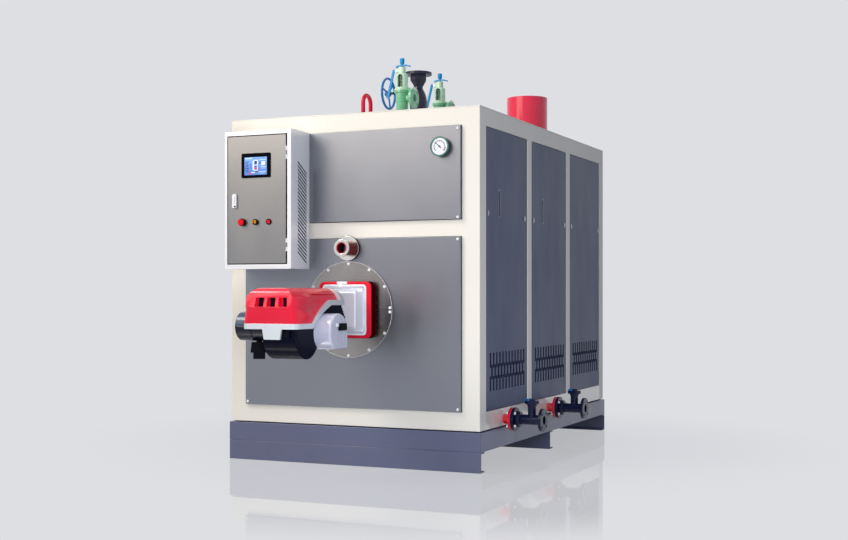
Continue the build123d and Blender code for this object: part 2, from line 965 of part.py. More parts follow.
# Dark casting under the rim, with the drum of the fan
with BuildPart() as burner_housing:
    with BuildSketch(side_plane(fan_left_x)):
        with BuildLine():
            Line((reach_y(housing_front_reach), rim_foot_z), rim_arch_foot)
            ThreePointArc(rim_arch_foot, rim_arch_middle, rim_arch_head)
            Polyline(
                rim_arch_head,
                (rim_back_y, rim_back_z),
                (reach_y(housing_back_reach), housing_back_z),
                (reach_y(housing_back_reach), housing_step_z),
                (reach_y(belly_back_reach), belly_back_z),
                (reach_y(belly_front_reach), belly_front_z),
                (reach_y(housing_front_reach), housing_front_z),
                (reach_y(housing_front_reach), rim_foot_z),
            )
        make_face()
    extrude(amount=fan_right_x - fan_left_x)
    rod((fan_left_x, motor_y, fan_z), (1, 0, 0), fan_radius, fan_right_x - fan_left_x)
    with BuildSketch(side_plane(fan_left_x)):
        with BuildLine():
            Line((hood_front_y, rim_foot_z), rim_arch_foot)
            ThreePointArc(rim_arch_foot, rim_arch_middle, rim_arch_head)
            Polyline(
                rim_arch_head,
                (rim_back_y, rim_back_z),
                (rim_back_y, hood_top_z),
                (hood_front_y, hood_top_z),
                (hood_front_y, rim_foot_z),
            )
        make_face()
    extrude(amount=fan_right_x - fan_left_x, mode=Mode.SUBTRACT)
    rib_y = reach_y(housing_back_reach) - rim_back_y
    rib_z = housing_back_z - rim_back_z
    rib_start_x = burner_x + neck_width / 2
    with BuildSketch(side_plane(rib_start_x)) as ribs:
        for rib in range(casting_ribs):
            share = (rib + 1 / 2) / casting_ribs
            with Locations((rim_back_y + share * rib_y, rim_back_z + share * rib_z)):
                Rectangle(2 * casting_rib_proud, casting_rib_width, rotation=degrees(atan2(-rib_y, rib_z)) + 180)
    extrude(ribs.sketch, amount=fan_right_x - rib_start_x)
    bar(
        (burner_x - neck_width / 2, rim_back_y, burner_z - neck_height / 2),
        (burner_x + neck_width / 2, plate_face, burner_z + neck_height / 2),
        mode=Mode.SUBTRACT,
    )
burner_housing.part.label = "burner_housing"
export_step(burner_housing.part, "parts/burner_housing.step")

# Motor across the burner, with a domed end bell
with BuildPart() as burner_motor:
    bell = motor_length / 2
    turned(
        (fan_left_x, motor_y, motor_z),
        (-1, 0, 0),
        [
            (0, 0),
            (0, motor_radius),
            (bell - motor_groove, motor_radius),
            (bell - motor_groove, motor_radius - motor_groove),
            (bell, motor_radius - motor_groove),
            (bell, motor_radius),
            (motor_length - motor_dome, motor_radius),
            (motor_length, motor_radius - 2 * motor_dome),
            (motor_length, 0),
        ],
    )
burner_motor.part.label = "burner_motor"
export_step(burner_motor.part, "parts/burner_motor.step")

# Air box on the right of the casting: an arch on a straight foot
with BuildPart() as air_box:
    arch_y = reach_y(air_box_reach)
    with BuildSketch(side_plane(fan_right_x)):
        with Locations((arch_y, air_box_z)):
            Circle(air_box_radius)
            Rectangle(air_box_radius, air_box_radius, align=(Align.MIN, Align.MAX))
        with Locations((arch_y, air_box_foot_z)):
            Rectangle(
                4 * air_box_radius,
                2 * air_box_radius,
                align=(Align.CENTER, Align.MAX),
                mode=Mode.SUBTRACT,
            )
    extrude(amount=air_box_width)
    fillet(air_box.faces().sort_by(Axis.X)[-1].edges(), air_box_edge)
air_box.part.label = "air_box"
export_step(air_box.part, "parts/air_box.step")

# Small dark cover on the air box
with BuildPart() as damper_cover:
    with BuildSketch(side_plane(fan_right_x + air_box_width)):
        with Locations((reach_y(cover_reach), cover_z)):
            Rectangle(cover_length, cover_height)
    extrude(amount=cover_thickness)
damper_cover.part.label = "damper_cover"
export_step(damper_cover.part, "parts/damper_cover.step")

# Stepped terminal box that hangs from the motor, turned out of line
with BuildPart() as terminal_box:
    box_x = burner_x - terminal_offset
    step_z = terminal_top_z - terminal_height
    with BuildSketch(Plane.XY.offset(terminal_top_z)) as upper_step:
        with Locations((box_x, motor_y)):
            Rectangle(terminal_width, terminal_length, rotation=terminal_turn)
    extrude(upper_step.sketch, amount=-terminal_height, taper=-terminal_draft)
    with BuildSketch(Plane.XY.offset(step_z)) as lower_step:
        with Locations((box_x, motor_y)):
            Rectangle(terminal_step_width, terminal_step_length, rotation=terminal_turn)
    extrude(lower_step.sketch, amount=-terminal_step)
    rod((box_x, motor_y, terminal_top_z), (0, 0, 1), terminal_neck / 2, motor_z - terminal_top_z)
    rod((fan_left_x, motor_y, motor_z), (-1, 0, 0), motor_radius, motor_length, mode=Mode.SUBTRACT)
terminal_box.part.label = "terminal_box"
export_step(terminal_box.part, "parts/terminal_box.step")

# Sight port: polished flange, red tube and polished end ring
tube_start = panel_face - sight_flange_thickness
ring_start = reach_y(sight_reach - sight_ring_thickness)

with BuildPart() as sight_flange:
    rod((0, panel_face, sight_z), (0, -1, 0), sight_flange_radius, sight_flange_thickness)
sight_flange.part.label = "sight_flange"
export_step(sight_flange.part, "parts/sight_flange.step")

with BuildPart() as sight_tube:
    with BuildSketch(front_plane(tube_start)):
        with Locations((0, sight_z)):
            Circle(sight_tube_radius)
            Circle(sight_bore_radius, mode=Mode.SUBTRACT)
    extrude(amount=tube_start - ring_start)
sight_tube.part.label = "sight_tube"
export_step(sight_tube.part, "parts/sight_tube.step")

with BuildPart() as sight_ring:
    with BuildSketch(front_plane(ring_start)):
        with Locations((0, sight_z)):
            Circle(sight_ring_radius)
            Circle(sight_bore_radius, mode=Mode.SUBTRACT)
    extrude(amount=sight_ring_thickness)
sight_ring.part.label = "sight_ring"
export_step(sight_ring.part, "parts/sight_ring.step")

# Pressure gauge: the case with its bezel, and the dial in the recess
dial_back = gauge_depth - gauge_glass_depth - gauge_dial_depth

with BuildPart() as gauge_case:
    turned(
        (gauge_x, panel_face, gauge_z),
        (0, -1, 0),
        [
            (0, 0),
            (0, gauge_case_radius),
            (gauge_depth - gauge_bezel_depth, gauge_case_radius),
            (gauge_depth - gauge_bezel_depth, gauge_bezel_radius),
            (gauge_depth, gauge_bezel_radius),
            (gauge_depth, gauge_dial_radius),
            (dial_back, gauge_dial_radius),
            (dial_back, 0),
        ],
    )
gauge_case.part.label = "gauge_case"
export_step(gauge_case.part, "parts/gauge_case.step")

with BuildPart() as gauge_dial:
    dial_start = (gauge_x, panel_face - dial_back, gauge_z)
    rod(dial_start, (0, -1, 0), gauge_dial_radius, gauge_dial_depth)
gauge_dial.part.label = "gauge_dial"
export_step(gauge_dial.part, "parts/gauge_dial.step")

# Control cabinet: an open-fronted shell with slanted slots in its right side
cabinet_front = panel_face - cabinet_depth
cabinet_back = panel_face - cabinet_wall
cabinet_right = cabinet_left + cabinet_width
cabinet_top = cabinet_bottom + cabinet_height
leaf_left = cabinet_left + door_inset
leaf_right = leaf_left + door_leaf_width
leaf_bottom = cabinet_bottom + door_rise
leaf_top = leaf_bottom + door_height
opening_right = leaf_right + hinge_gap
hinge_x = leaf_right + hinge_gap / 2
hinge_centres = (leaf_bottom + hinge_inset, leaf_top - hinge_inset)
slot_start_y = cabinet_front + cabinet_slot_front
slot_end_y = slot_start_y + cabinet_slot_run


def knuckle(foot_z):
    """One hinge knuckle on the door's axis."""
    rod((hinge_x, cabinet_front, foot_z), (0, 0, 1), hinge_radius, hinge_knuckle)


with BuildPart() as control_cabinet:
    bar((cabinet_left, cabinet_front, cabinet_bottom), (cabinet_right, panel_face, cabinet_top))
    bar(
        (cabinet_left + cabinet_wall, cabinet_front + cabinet_wall, cabinet_bottom + cabinet_wall),
        (cabinet_right - cabinet_wall, cabinet_back, cabinet_top - cabinet_wall),
        mode=Mode.SUBTRACT,
    )
    bar(
        (leaf_left - door_gap, cabinet_front, leaf_bottom - door_gap),
        (opening_right, cabinet_front + cabinet_wall, leaf_top + door_gap),
        mode=Mode.SUBTRACT,
    )
    with BuildSketch(side_plane(cabinet_right)):
        for slot in range(cabinet_slot_count):
            head_z = cabinet_top - cabinet_slot_margin - slot * cabinet_slot_pitch
            with BuildLine():
                Polyline(
                    (slot_start_y, head_z),
                    (slot_end_y, head_z - cabinet_slot_drop),
                    (slot_end_y, head_z - cabinet_slot_drop - cabinet_slot_width),
                    (slot_start_y, head_z - cabinet_slot_width),
                    close=True,
                )
            make_face()
    extrude(amount=-cabinet_wall, mode=Mode.SUBTRACT)
    for centre in hinge_centres:
        for step in (-1, 1):
            foot_z = centre + step * (hinge_knuckle + hinge_play) - hinge_knuckle / 2
            knuckle(foot_z)
            bar(
                (hinge_x, cabinet_front, foot_z),
                (opening_right, cabinet_front + hinge_leaf, foot_z + hinge_knuckle),
            )
control_cabinet.part.label = "control_cabinet"
export_step(control_cabinet.part, "parts/control_cabinet.step")

# Bare plate inside the cabinet, on four spacers
plate_centre = ((cabinet_left + cabinet_right) / 2, (cabinet_bottom + cabinet_top) / 2)

with BuildPart() as cabinet_back_plate:
    with BuildSketch(front_plane(cabinet_back - back_plate_spacer)):
        with Locations(plate_centre):
            Rectangle(back_plate_width, back_plate_height)
    extrude(amount=back_plate_thickness)
    with BuildSketch(front_plane(cabinet_back)):
        with Locations(plate_centre):
            with GridLocations(
                back_plate_width - 2 * spacer_inset,
                back_plate_height - 2 * spacer_inset,
                2,
                2,
            ):
                Circle(spacer_radius)
    extrude(amount=back_plate_spacer)
cabinet_back_plate.part.label = "cabinet_back_plate"
export_step(cabinet_back_plate.part, "parts/cabinet_back_plate.step")

# Cabinet door with its cut-outs and hinge knuckles
door_back = cabinet_front + door_thickness
screen_body_width = screen_width - 2 * screen_body_margin
screen_body_height = screen_height - 2 * screen_body_margin

with BuildPart() as cabinet_door:
    bar((leaf_left, cabinet_front, leaf_bottom), (leaf_right, door_back, leaf_top))
    with BuildSketch(front_plane(cabinet_front)):
        with Locations((screen_x, screen_z)):
            Rectangle(screen_body_width, screen_body_height)
        for place_x in button_positions:
            with Locations((place_x, button_z)):
                Circle(operator_neck_radius)
    extrude(amount=-door_thickness, mode=Mode.SUBTRACT)
    for centre in hinge_centres:
        foot_z = centre - hinge_knuckle / 2
        knuckle(foot_z)
        bar(
            (leaf_right, cabinet_front, foot_z),
            (hinge_x, cabinet_front + hinge_leaf, foot_z + hinge_knuckle),
        )
cabinet_door.part.label = "cabinet_door"
export_step(cabinet_door.part, "parts/cabinet_door.step")

# Touch screen in the door
with BuildPart() as touch_screen:
    with BuildSketch(front_plane(cabinet_front)):
        with Locations((screen_x, screen_z)):
            RectangleRounded(screen_width, screen_height, screen_body_margin)
    extrude(amount=screen_proud)
    with BuildSketch(front_plane(cabinet_front)):
        with Locations((screen_x, screen_z)):
            Rectangle(screen_body_width, screen_body_height)
    extrude(amount=-(door_thickness + screen_body_depth))
touch_screen.part.label = "touch_screen"
export_step(touch_screen.part, "parts/touch_screen.step")


# Operators below the screen, each with its switch block behind the door
def operator(place_x, radius, neck_radius, proud):
    """A bezel with a round head, the neck through the door and the switch block."""
    face = (place_x, cabinet_front, button_z)
    shoulder = (proud + bezel_proud) / 2
    turned(
        face,
        (0, -1, 0),
        [
            (0, 0),
            (0, bezel_radius),
            (bezel_proud, bezel_radius),
            (bezel_proud, neck_radius),
            (shoulder, neck_radius),
            (shoulder, radius),
            (proud - edge_break, radius),
            (proud, radius - edge_break),
            (proud, 0),
        ],
    )
    rod(face, (0, 1, 0), operator_neck_radius, door_thickness)
    bar(
        (place_x - switch_block / 2, door_back, button_z - switch_block / 2),
        (place_x + switch_block / 2, door_back + switch_block_depth, button_z + switch_block / 2),
    )


with BuildPart() as emergency_stop:
    operator(button_positions[0], stop_head_radius, operator_neck_radius, stop_proud)
emergency_stop.part.label = "emergency_stop"
export_step(emergency_stop.part, "parts/emergency_stop.step")

with BuildPart() as selector_switch:
    operator(button_positions[1], selector_radius, selector_radius - edge_break, selector_proud)
selector_switch.part.label = "selector_switch"
export_step(selector_switch.part, "parts/selector_switch.step")

with BuildPart() as stop_button:
    operator(button_positions[2], push_radius, push_radius - edge_break, push_proud)
stop_button.part.label = "stop_button"
export_step(stop_button.part, "parts/stop_button.step")

# Flat handle of the door lock
with BuildPart() as door_handle:
    with BuildSketch(front_plane(cabinet_front)):
        with Locations((handle_x, handle_z)):
            RectangleRounded(handle_width, handle_height, handle_corner)
    extrude(amount=handle_proud)
    fillet(door_handle.faces().sort_by(Axis.Y)[0].edges(), edge_break)
door_handle.part.label = "door_handle"
export_step(door_handle.part, "parts/door_handle.step")

# Blowdown stubs on the right side
joint_end = stub_length + joint_flange_thickness

with BuildPart() as blowdown_stubs:
    for valve_y in blowdown_positions:
        turned(
            (half_width, valve_y, blowdown_z),
            (1, 0, 0),
            [
                (0, 0),
                (0, stub_radius),
                (stub_length, stub_radius),
                (stub_length, joint_flange_radius),
                (joint_end, joint_flange_radius),
                (joint_end, 0),
            ],
        )
blowdown_stubs.part.label = "blowdown_stubs"
export_step(blowdown_stubs.part, "parts/blowdown_stubs.step")


# Blowdown valves
def blowdown_valve(valve_y):
    """One valve, from its gasket to the flange at the free end."""
    gasket_end = joint_end + gasket_thickness
    end_flange_start = valve_length - end_flange_thickness
    end_face = (half_width + valve_length, valve_y, blowdown_z)
    neck_x = half_width + stem_neck_reach
    neck_top_z = blowdown_z + stem_neck_height
    collar_z = neck_top_z - stem_collar_height
    cap_top_z = neck_top_z + stem_cap_thickness
    turned(
        (half_width, valve_y, blowdown_z),
        (1, 0, 0),
        [
            (joint_end, 0),
            (joint_end, gasket_radius),
            (gasket_end, gasket_radius),
            (gasket_end, joint_flange_radius),
            (valve_flange_end, joint_flange_radius),
            (valve_flange_end, valve_ball_radius - valve_ball_slope),
            (valve_flange_end + valve_ball_slope, valve_ball_radius),
            (valve_ball_end - valve_ball_slope, valve_ball_radius),
            (valve_ball_end, valve_ball_radius - valve_ball_slope),
            (valve_ball_end, valve_pipe_radius),
            (end_flange_start, valve_pipe_radius),
            (end_flange_start, end_flange_radius),
            (valve_length, end_flange_radius),
            (valve_length, 0),
        ],
    )
    rod((neck_x, valve_y, blowdown_z), (0, 0, 1), stem_neck_radius, stem_neck_height)
    rod((neck_x, valve_y, collar_z), (0, 0, 1), stem_collar_radius, stem_collar_height)
    with BuildSketch(Plane.XY.offset(neck_top_z)) as cap:
        with Locations((neck_x, valve_y)):
            SlotOverall(stem_cap_length, stem_cap_width)
    extrude(cap.sketch, amount=stem_cap_thickness)
    rod((neck_x, valve_y, cap_top_z), (0, 0, 1), stem_knob_radius, stem_knob_height)
    rod(end_face, (-1, 0, 0), pipe_bore_radius, end_bore_length, mode=Mode.SUBTRACT)
    flange_holes(end_face, end_flange_thickness)


def flange_holes(face, thickness):
    """Four bolt holes through a flange that faces +X."""
    with BuildSketch(Plane(origin=face, x_dir=(0, 1, 0), z_dir=(1, 0, 0))) as holes:
        with PolarLocations(bolt_circle_radius, bolt_count, start_angle=bolt_angle):
            Circle(bolt_hole_radius)
    extrude(holes.sketch, amount=-thickness, mode=Mode.SUBTRACT)


with BuildPart() as blowdown_valve_1:
    blowdown_valve(blowdown_positions[0])
blowdown_valve_1.part.label = "blowdown_valve_1"
export_step(blowdown_valve_1.part, "parts/blowdown_valve_1.step")

with BuildPart() as blowdown_valve_2:
    blowdown_valve(blowdown_positions[1])
blowdown_valve_2.part.label = "blowdown_valve_2"
export_step(blowdown_valve_2.part, "parts/blowdown_valve_2.step")

# Lifting ring: a round bar bent into a bow, with both legs on a foot plate
with BuildPart() as lifting_ring:
    arch_z = casing_top + ring_arch_height
    near_leg_y = ring_y - ring_radius
    far_leg_y = ring_y + ring_radius
    with BuildLine(side_plane(0)) as bow:
        Line((near_leg_y, casing_top), (near_leg_y, arch_z))
        ThreePointArc((near_leg_y, arch_z), (ring_y, arch_z + ring_radius), (far_leg_y, arch_z))
        Line((far_leg_y, arch_z), (far_leg_y, casing_top))
    with BuildSketch(Plane(origin=(0, near_leg_y, casing_top), x_dir=(1, 0, 0), z_dir=(0, 0, 1))) as bow_end:
        Circle(ring_wire_radius)
    sweep(bow_end.sketch, path=bow.wire())
    with BuildSketch(Plane.XY.offset(casing_top)) as foot:
        with Locations((0, ring_y)):
            Rectangle(ring_foot_width, ring_foot_length)
    extrude(foot.sketch, amount=ring_foot_height)
lifting_ring.part.label = "lifting_ring"
export_step(lifting_ring.part, "parts/lifting_ring.step")

# Safety valves
pivot_z = casing_top + lever_pivot_height
ear_inner = lever_thickness / 2 + ear_gap
ear_outer = ear_inner + ear_thickness


def safety_valve(valve_y):
    """Body and bonnet of a safety valve, with the ears and pin of its lever."""
    flange_top = safety_flange_bottom + safety_flange_thickness
    outlet_face = (outlet_reach, valve_y, casing_top + outlet_z)
    outlet_flange_start = outlet_reach - outlet_flange_thickness
    turned(
        (0, valve_y, casing_top),
        (0, 0, 1),
        [
            (0, 0),
            (0, safety_inlet_radius),
            (safety_flange_bottom, safety_inlet_radius),
            (safety_flange_bottom, safety_flange_radius),
            (flange_top, safety_flange_radius),
            (flange_top, safety_inlet_radius),
            (safety_foot_bottom - safety_foot_slope, safety_inlet_radius),
            (safety_foot_bottom, safety_foot_radius),
            (safety_body_bottom - safety_body_slope, safety_foot_radius),
            (safety_body_bottom, safety_body_radius),
            (bonnet_flange_bottom, safety_body_radius),
            (bonnet_flange_bottom, bonnet_flange_radius),
            (bonnet_bottom, bonnet_flange_radius),
            (bonnet_bottom, bonnet_radius),
            (bonnet_shoulder, bonnet_radius),
            (bonnet_shoulder + bonnet_shoulder_height, bonnet_neck_radius),
            (bonnet_top, bonnet_neck_radius),
            (bonnet_top, 0),
        ],
    )
    turned(
        (0, valve_y, casing_top + outlet_z),
        (1, 0, 0),
        [
            (0, 0),
            (0, outlet_neck_radius),
            (outlet_cone_start, outlet_neck_radius),
            (outlet_flange_start, outlet_cone_radius),
            (outlet_flange_start, outlet_flange_radius),
            (outlet_reach, outlet_flange_radius),
            (outlet_reach, 0),
        ],
    )
    rod(outlet_face, (-1, 0, 0), outlet_bore_radius, outlet_flange_thickness, mode=Mode.SUBTRACT)
    flange_holes(outlet_face, outlet_flange_thickness)
    spring_chamber(valve_y)
    for side in (-1, 1):
        near, far = sorted((side * ear_inner, side * ear_outer))
        with BuildSketch(front_plane(valve_y + far)) as ear:
            with Locations((lever_pivot_x, pivot_z)):
                Circle(ear_radius)
            with Locations((lever_pivot_x / 2, pivot_z)):
                Rectangle(-lever_pivot_x, 2 * ear_radius)
        extrude(ear.sketch, amount=far - near)
    rod((lever_pivot_x, valve_y - ear_outer, pivot_z), (0, 1, 0), pivot_radius, 2 * ear_outer)


def spring_chamber(valve_y):
    """Hollow of the bonnet with the spindle in it, open through arched windows."""
    window_radius = bonnet_window_width / 2
    straight = bonnet_window_height - window_radius
    window_foot = casing_top + bonnet_window_bottom
    rod(
        (0, valve_y, casing_top + bonnet_bottom),
        (0, 0, 1),
        bonnet_cavity_radius,
        bonnet_shoulder - bonnet_bottom,
        mode=Mode.SUBTRACT,
    )
    rod(
        (0, valve_y, casing_top + bonnet_bottom),
        (0, 0, 1),
        spindle_radius,
        bonnet_shoulder - bonnet_bottom,
    )
    window_run = bonnet_radius - spring_radius
    for side in (-1, 1):
        with BuildSketch(front_plane(valve_y + side * bonnet_radius)) as window:
            with Locations((0, window_foot + straight / 2)):
                Rectangle(bonnet_window_width, straight)
            with Locations((0, window_foot + straight)):
                Circle(window_radius)
        extrude(window.sketch, amount=side * window_run, mode=Mode.SUBTRACT)


with BuildPart() as safety_valve_1:
    safety_valve(safety_positions[0])
safety_valve_1.part.label = "safety_valve_1"
export_step(safety_valve_1.part, "parts/safety_valve_1.step")

with BuildPart() as safety_valve_2:
    safety_valve(safety_positions[1])
safety_valve_2.part.label = "safety_valve_2"
export_step(safety_valve_2.part, "parts/safety_valve_2.step")

# Coil springs round the spindles, seated between the floor and the roof of each chamber
def safety_spring(valve_y):
    """One coil spring behind the bonnet's windows."""
    seat = spring_wire_radius + spring_seat_gap
    run = bonnet_shoulder - bonnet_bottom - 2 * seat
    foot_centre = (0, valve_y, casing_top + bonnet_bottom + seat)
    with BuildLine() as coil:
        Helix(pitch=run / spring_coils, height=run, radius=spring_radius, center=foot_centre)
    with BuildSketch(Plane(origin=coil.line @ 0, z_dir=coil.line % 0)) as wire:
        Circle(spring_wire_radius)
    sweep(wire.sketch, path=coil.line, is_frenet=True)


with BuildPart() as safety_springs:
    for valve_y in safety_positions:
        safety_spring(valve_y)
safety_springs.part.label = "safety_springs"
export_step(safety_springs.part, "parts/safety_springs.step")


# Blue caps with their fork plates
def safety_cap(valve_y):
    """Cap on the spindle and the arched fork plate under it."""
    fork_z = casing_top + fork_bottom
    with BuildSketch(front_plane(valve_y + fork_width / 2)) as fork:
        with BuildLine():
            ThreePointArc((-fork_left, fork_z), (0, fork_z + fork_rise), (fork_right, fork_z))
            Line((fork_right, fork_z), (fork_right, fork_z + fork_thickness))
            ThreePointArc(
                (fork_right, fork_z + fork_thickness),
                (0, fork_z + fork_rise + fork_thickness),
                (-fork_left, fork_z + fork_thickness),
            )
            Line((-fork_left, fork_z + fork_thickness), (-fork_left, fork_z))
        make_face()
    extrude(fork.sketch, amount=fork_width)
    turned(
        (0, valve_y, casing_top),
        (0, 0, 1),
        [
            (bonnet_top, 0),
            (bonnet_top, cap_neck_radius),
            (cap_neck_top, cap_neck_radius),
            (cap_bottom, cap_radius),
            (cap_top - edge_break, cap_radius),
            (cap_top, cap_radius - edge_break),
            (cap_top, 0),
        ],
    )


with BuildPart() as safety_cap_1:
    safety_cap(safety_positions[0])
safety_cap_1.part.label = "safety_cap_1"
export_step(safety_cap_1.part, "parts/safety_cap_1.step")

with BuildPart() as safety_cap_2:
    safety_cap(safety_positions[1])
safety_cap_2.part.label = "safety_cap_2"
export_step(safety_cap_2.part, "parts/safety_cap_2.step")


# Blue test levers
def safety_lever(valve_y):
    """Bent lever on its pin, with an eye at the free end."""
    pivot = (lever_pivot_x, pivot_z)
    elbow = (lever_elbow_x, casing_top + lever_elbow_height)
    tip = (lever_tip_x, casing_top + lever_tip_height)
    with BuildSketch(front_plane(valve_y + lever_thickness / 2)) as blade:
        with BuildLine():
            Polyline(pivot, elbow, tip)
        trace(line_width=lever_width)
        with Locations(pivot, elbow):
            Circle(lever_width / 2)
        with Locations(tip):
            Circle(lever_eye_radius)
            Circle(lever_eye_bore, mode=Mode.SUBTRACT)
        with Locations(pivot):
            Circle(pivot_radius + pivot_play, mode=Mode.SUBTRACT)
    extrude(blade.sketch, amount=lever_thickness)


with BuildPart() as safety_lever_1:
    safety_lever(safety_positions[0])
safety_lever_1.part.label = "safety_lever_1"
export_step(safety_lever_1.part, "parts/safety_lever_1.step")

with BuildPart() as safety_lever_2:
    safety_lever(safety_positions[1])
safety_lever_2.part.label = "safety_lever_2"
export_step(safety_lever_2.part, "parts/safety_lever_2.step")

# Steam stop valve: a round bulb, then an eight-sided lobe under a bolted top flange, with the
# gland to the left
spindle_z = casing_top + spindle_height
flange_start = stop_height - stop_flange_thickness

with BuildPart() as stop_valve_body:
    with BuildSketch(Plane(origin=(0, stop_y, casing_top), x_dir=(0, 0, 1), z_dir=(0, -1, 0))) as bulb:
        with BuildLine():
            Polyline(
                (stop_bulb_bottom, stop_inlet_radius),
                (stop_bulb_bottom, 0),
                (stop_waist, 0),
                (stop_waist, stop_waist_radius),
            )
            ThreePointArc(
                (stop_waist, stop_waist_radius),
                (stop_bulb_centre, stop_bulb_radius),
                (stop_bulb_bottom, stop_inlet_radius),
            )
        make_face()
    revolve(bulb.sketch, axis=Axis((0, stop_y, casing_top), (0, 0, 1)))
    rod((0, stop_y, casing_top), (0, 0, 1), stop_inlet_radius, stop_bulb_bottom)
    foot_z = casing_top + stop_foot_bottom
    rod((0, stop_y, foot_z), (0, 0, 1), stop_flange_radius, stop_flange_thickness)
    neck_z = casing_top + stop_waist - stop_waist_rise
    rod((0, stop_y, neck_z), (0, 0, 1), stop_waist_radius, 2 * stop_waist_rise)
    with BuildSketch(Plane.XY.offset(casing_top + stop_waist)):
        with Locations((0, stop_y)):
            RegularPolygon(stop_lobe_foot_radius, stop_lobe_sides)
    with BuildSketch(Plane.XY.offset(casing_top + stop_lobe)):
        with Locations((0, stop_y)):
            RegularPolygon(stop_lobe_radius, stop_lobe_sides)
    loft()
    with BuildSketch(Plane.XY.offset(casing_top + stop_lobe)):
        with Locations((0, stop_y)):
            RegularPolygon(stop_lobe_radius, stop_lobe_sides)
    extrude(amount=flange_start - stop_lobe)
    rod((0, stop_y, casing_top + flange_start), (0, 0, 1), stop_flange_radius, stop_flange_thickness)
    turned(
        (0, stop_y, spindle_z),
        (-1, 0, 0),
        [
            (0, 0),
            (0, side_bonnet_radius),
            (side_bonnet_reach - side_flange_thickness, side_bonnet_radius),
            (side_bonnet_reach - side_flange_thickness, side_flange_radius),
            (side_bonnet_reach, side_flange_radius),
            (side_bonnet_reach, gland_radius),
            (gland_reach, gland_radius),
            (gland_reach, 0),
        ],
    )
    rod((-gland_reach, stop_y, spindle_z), (1, 0, 0), gland_bore, gland_depth, mode=Mode.SUBTRACT)
    with BuildSketch(Plane.XY.offset(casing_top + stop_height)):
        with Locations((0, stop_y)):
            Circle(stop_bore_radius)
    extrude(amount=-stop_bore_length, mode=Mode.SUBTRACT)
    with BuildSketch(Plane.XY.offset(casing_top + stop_height)):
        with Locations((0, stop_y)):
            with PolarLocations(stop_hole_circle_radius, stop_hole_count):
                Circle(stop_hole_radius)
    extrude(amount=-stop_flange_thickness, mode=Mode.SUBTRACT)
stop_valve_body.part.label = "stop_valve_body"
export_step(stop_valve_body.part, "parts/stop_valve_body.step")

# Stem with the nut that holds the handwheel
stem_start = gland_reach - gland_depth + moving_gap
hub_outer = wheel_reach + wheel_hub_length / 2

with BuildPart() as stop_valve_stem:
    turned(
        (0, stop_y, spindle_z),
        (-1, 0, 0),
        [
            (stem_start, 0),
            (stem_start, stem_radius),
            (hub_outer, stem_radius),
            (hub_outer, stem_nut_radius),
            (hub_outer + stem_nut_length, stem_nut_radius),
            (hub_outer + stem_nut_length, 0),
        ],
    )
stop_valve_stem.part.label = "stop_valve_stem"
export_step(stop_valve_stem.part, "parts/stop_valve_stem.step")

# Blue handwheel with three spokes
with BuildPart() as handwheel:
    rim_centre_radius = wheel_radius - wheel_rim
    wheel_centre = (-wheel_reach, stop_y, spindle_z)
    rim_point = (-wheel_reach, stop_y, spindle_z + rim_centre_radius)
    with BuildSketch(Plane(origin=rim_point, x_dir=(1, 0, 0), z_dir=(0, -1, 0))):
        Circle(wheel_rim)
    revolve(axis=Axis(wheel_centre, (1, 0, 0)))
    rod((-hub_outer, stop_y, spindle_z), (1, 0, 0), wheel_hub_radius, wheel_hub_length)
    for spoke in range(wheel_spokes):
        angle = radians(wheel_first_spoke + spoke * wheel_spoke_step)
        rod(wheel_centre, (0, cos(angle), sin(angle)), wheel_spoke_radius, rim_centre_radius)
    rod(
        (-hub_outer, stop_y, spindle_z),
        (1, 0, 0),
        stem_radius + wheel_play,
        wheel_hub_length,
        mode=Mode.SUBTRACT,
    )
handwheel.part.label = "handwheel"
export_step(handwheel.part, "parts/handwheel.step")

# Flue outlet
with BuildPart() as flue:
    with BuildSketch(Plane.XY.offset(casing_top)):
        with Locations((flue_x, flue_y)):
            Circle(flue_radius)
            Circle(flue_radius - flue_wall, mode=Mode.SUBTRACT)
    extrude(amount=flue_height)
flue.part.label = "flue"
export_step(flue.part, "parts/flue.step")
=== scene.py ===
import json
from math import copysign, cos, pi, radians, sin

import bmesh
import bpy
from mathutils import Matrix, Vector


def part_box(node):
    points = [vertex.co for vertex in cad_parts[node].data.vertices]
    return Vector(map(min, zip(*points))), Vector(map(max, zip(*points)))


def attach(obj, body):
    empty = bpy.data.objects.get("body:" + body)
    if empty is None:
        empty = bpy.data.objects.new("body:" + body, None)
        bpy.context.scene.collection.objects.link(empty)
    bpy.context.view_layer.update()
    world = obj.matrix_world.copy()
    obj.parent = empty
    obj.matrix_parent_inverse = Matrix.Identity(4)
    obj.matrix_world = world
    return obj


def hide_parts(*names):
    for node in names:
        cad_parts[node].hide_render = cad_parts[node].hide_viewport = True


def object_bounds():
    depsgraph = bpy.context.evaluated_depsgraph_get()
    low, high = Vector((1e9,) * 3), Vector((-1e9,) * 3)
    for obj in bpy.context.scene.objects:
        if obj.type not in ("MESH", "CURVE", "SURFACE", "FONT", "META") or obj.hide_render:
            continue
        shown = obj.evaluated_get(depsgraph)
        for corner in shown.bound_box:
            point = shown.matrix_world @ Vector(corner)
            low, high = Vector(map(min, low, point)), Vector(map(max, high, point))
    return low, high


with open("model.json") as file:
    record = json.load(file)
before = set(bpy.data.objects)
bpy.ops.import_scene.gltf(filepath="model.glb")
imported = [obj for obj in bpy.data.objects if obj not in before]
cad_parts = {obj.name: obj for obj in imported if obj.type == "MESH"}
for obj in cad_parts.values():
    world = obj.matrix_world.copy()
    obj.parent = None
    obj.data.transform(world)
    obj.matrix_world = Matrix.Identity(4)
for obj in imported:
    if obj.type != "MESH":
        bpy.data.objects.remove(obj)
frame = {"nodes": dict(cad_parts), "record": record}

cad_low, cad_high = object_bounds()
record = frame["record"]
slot_of = {entry["node"]: entry["material_slot"] for entry in record["subparts"]}
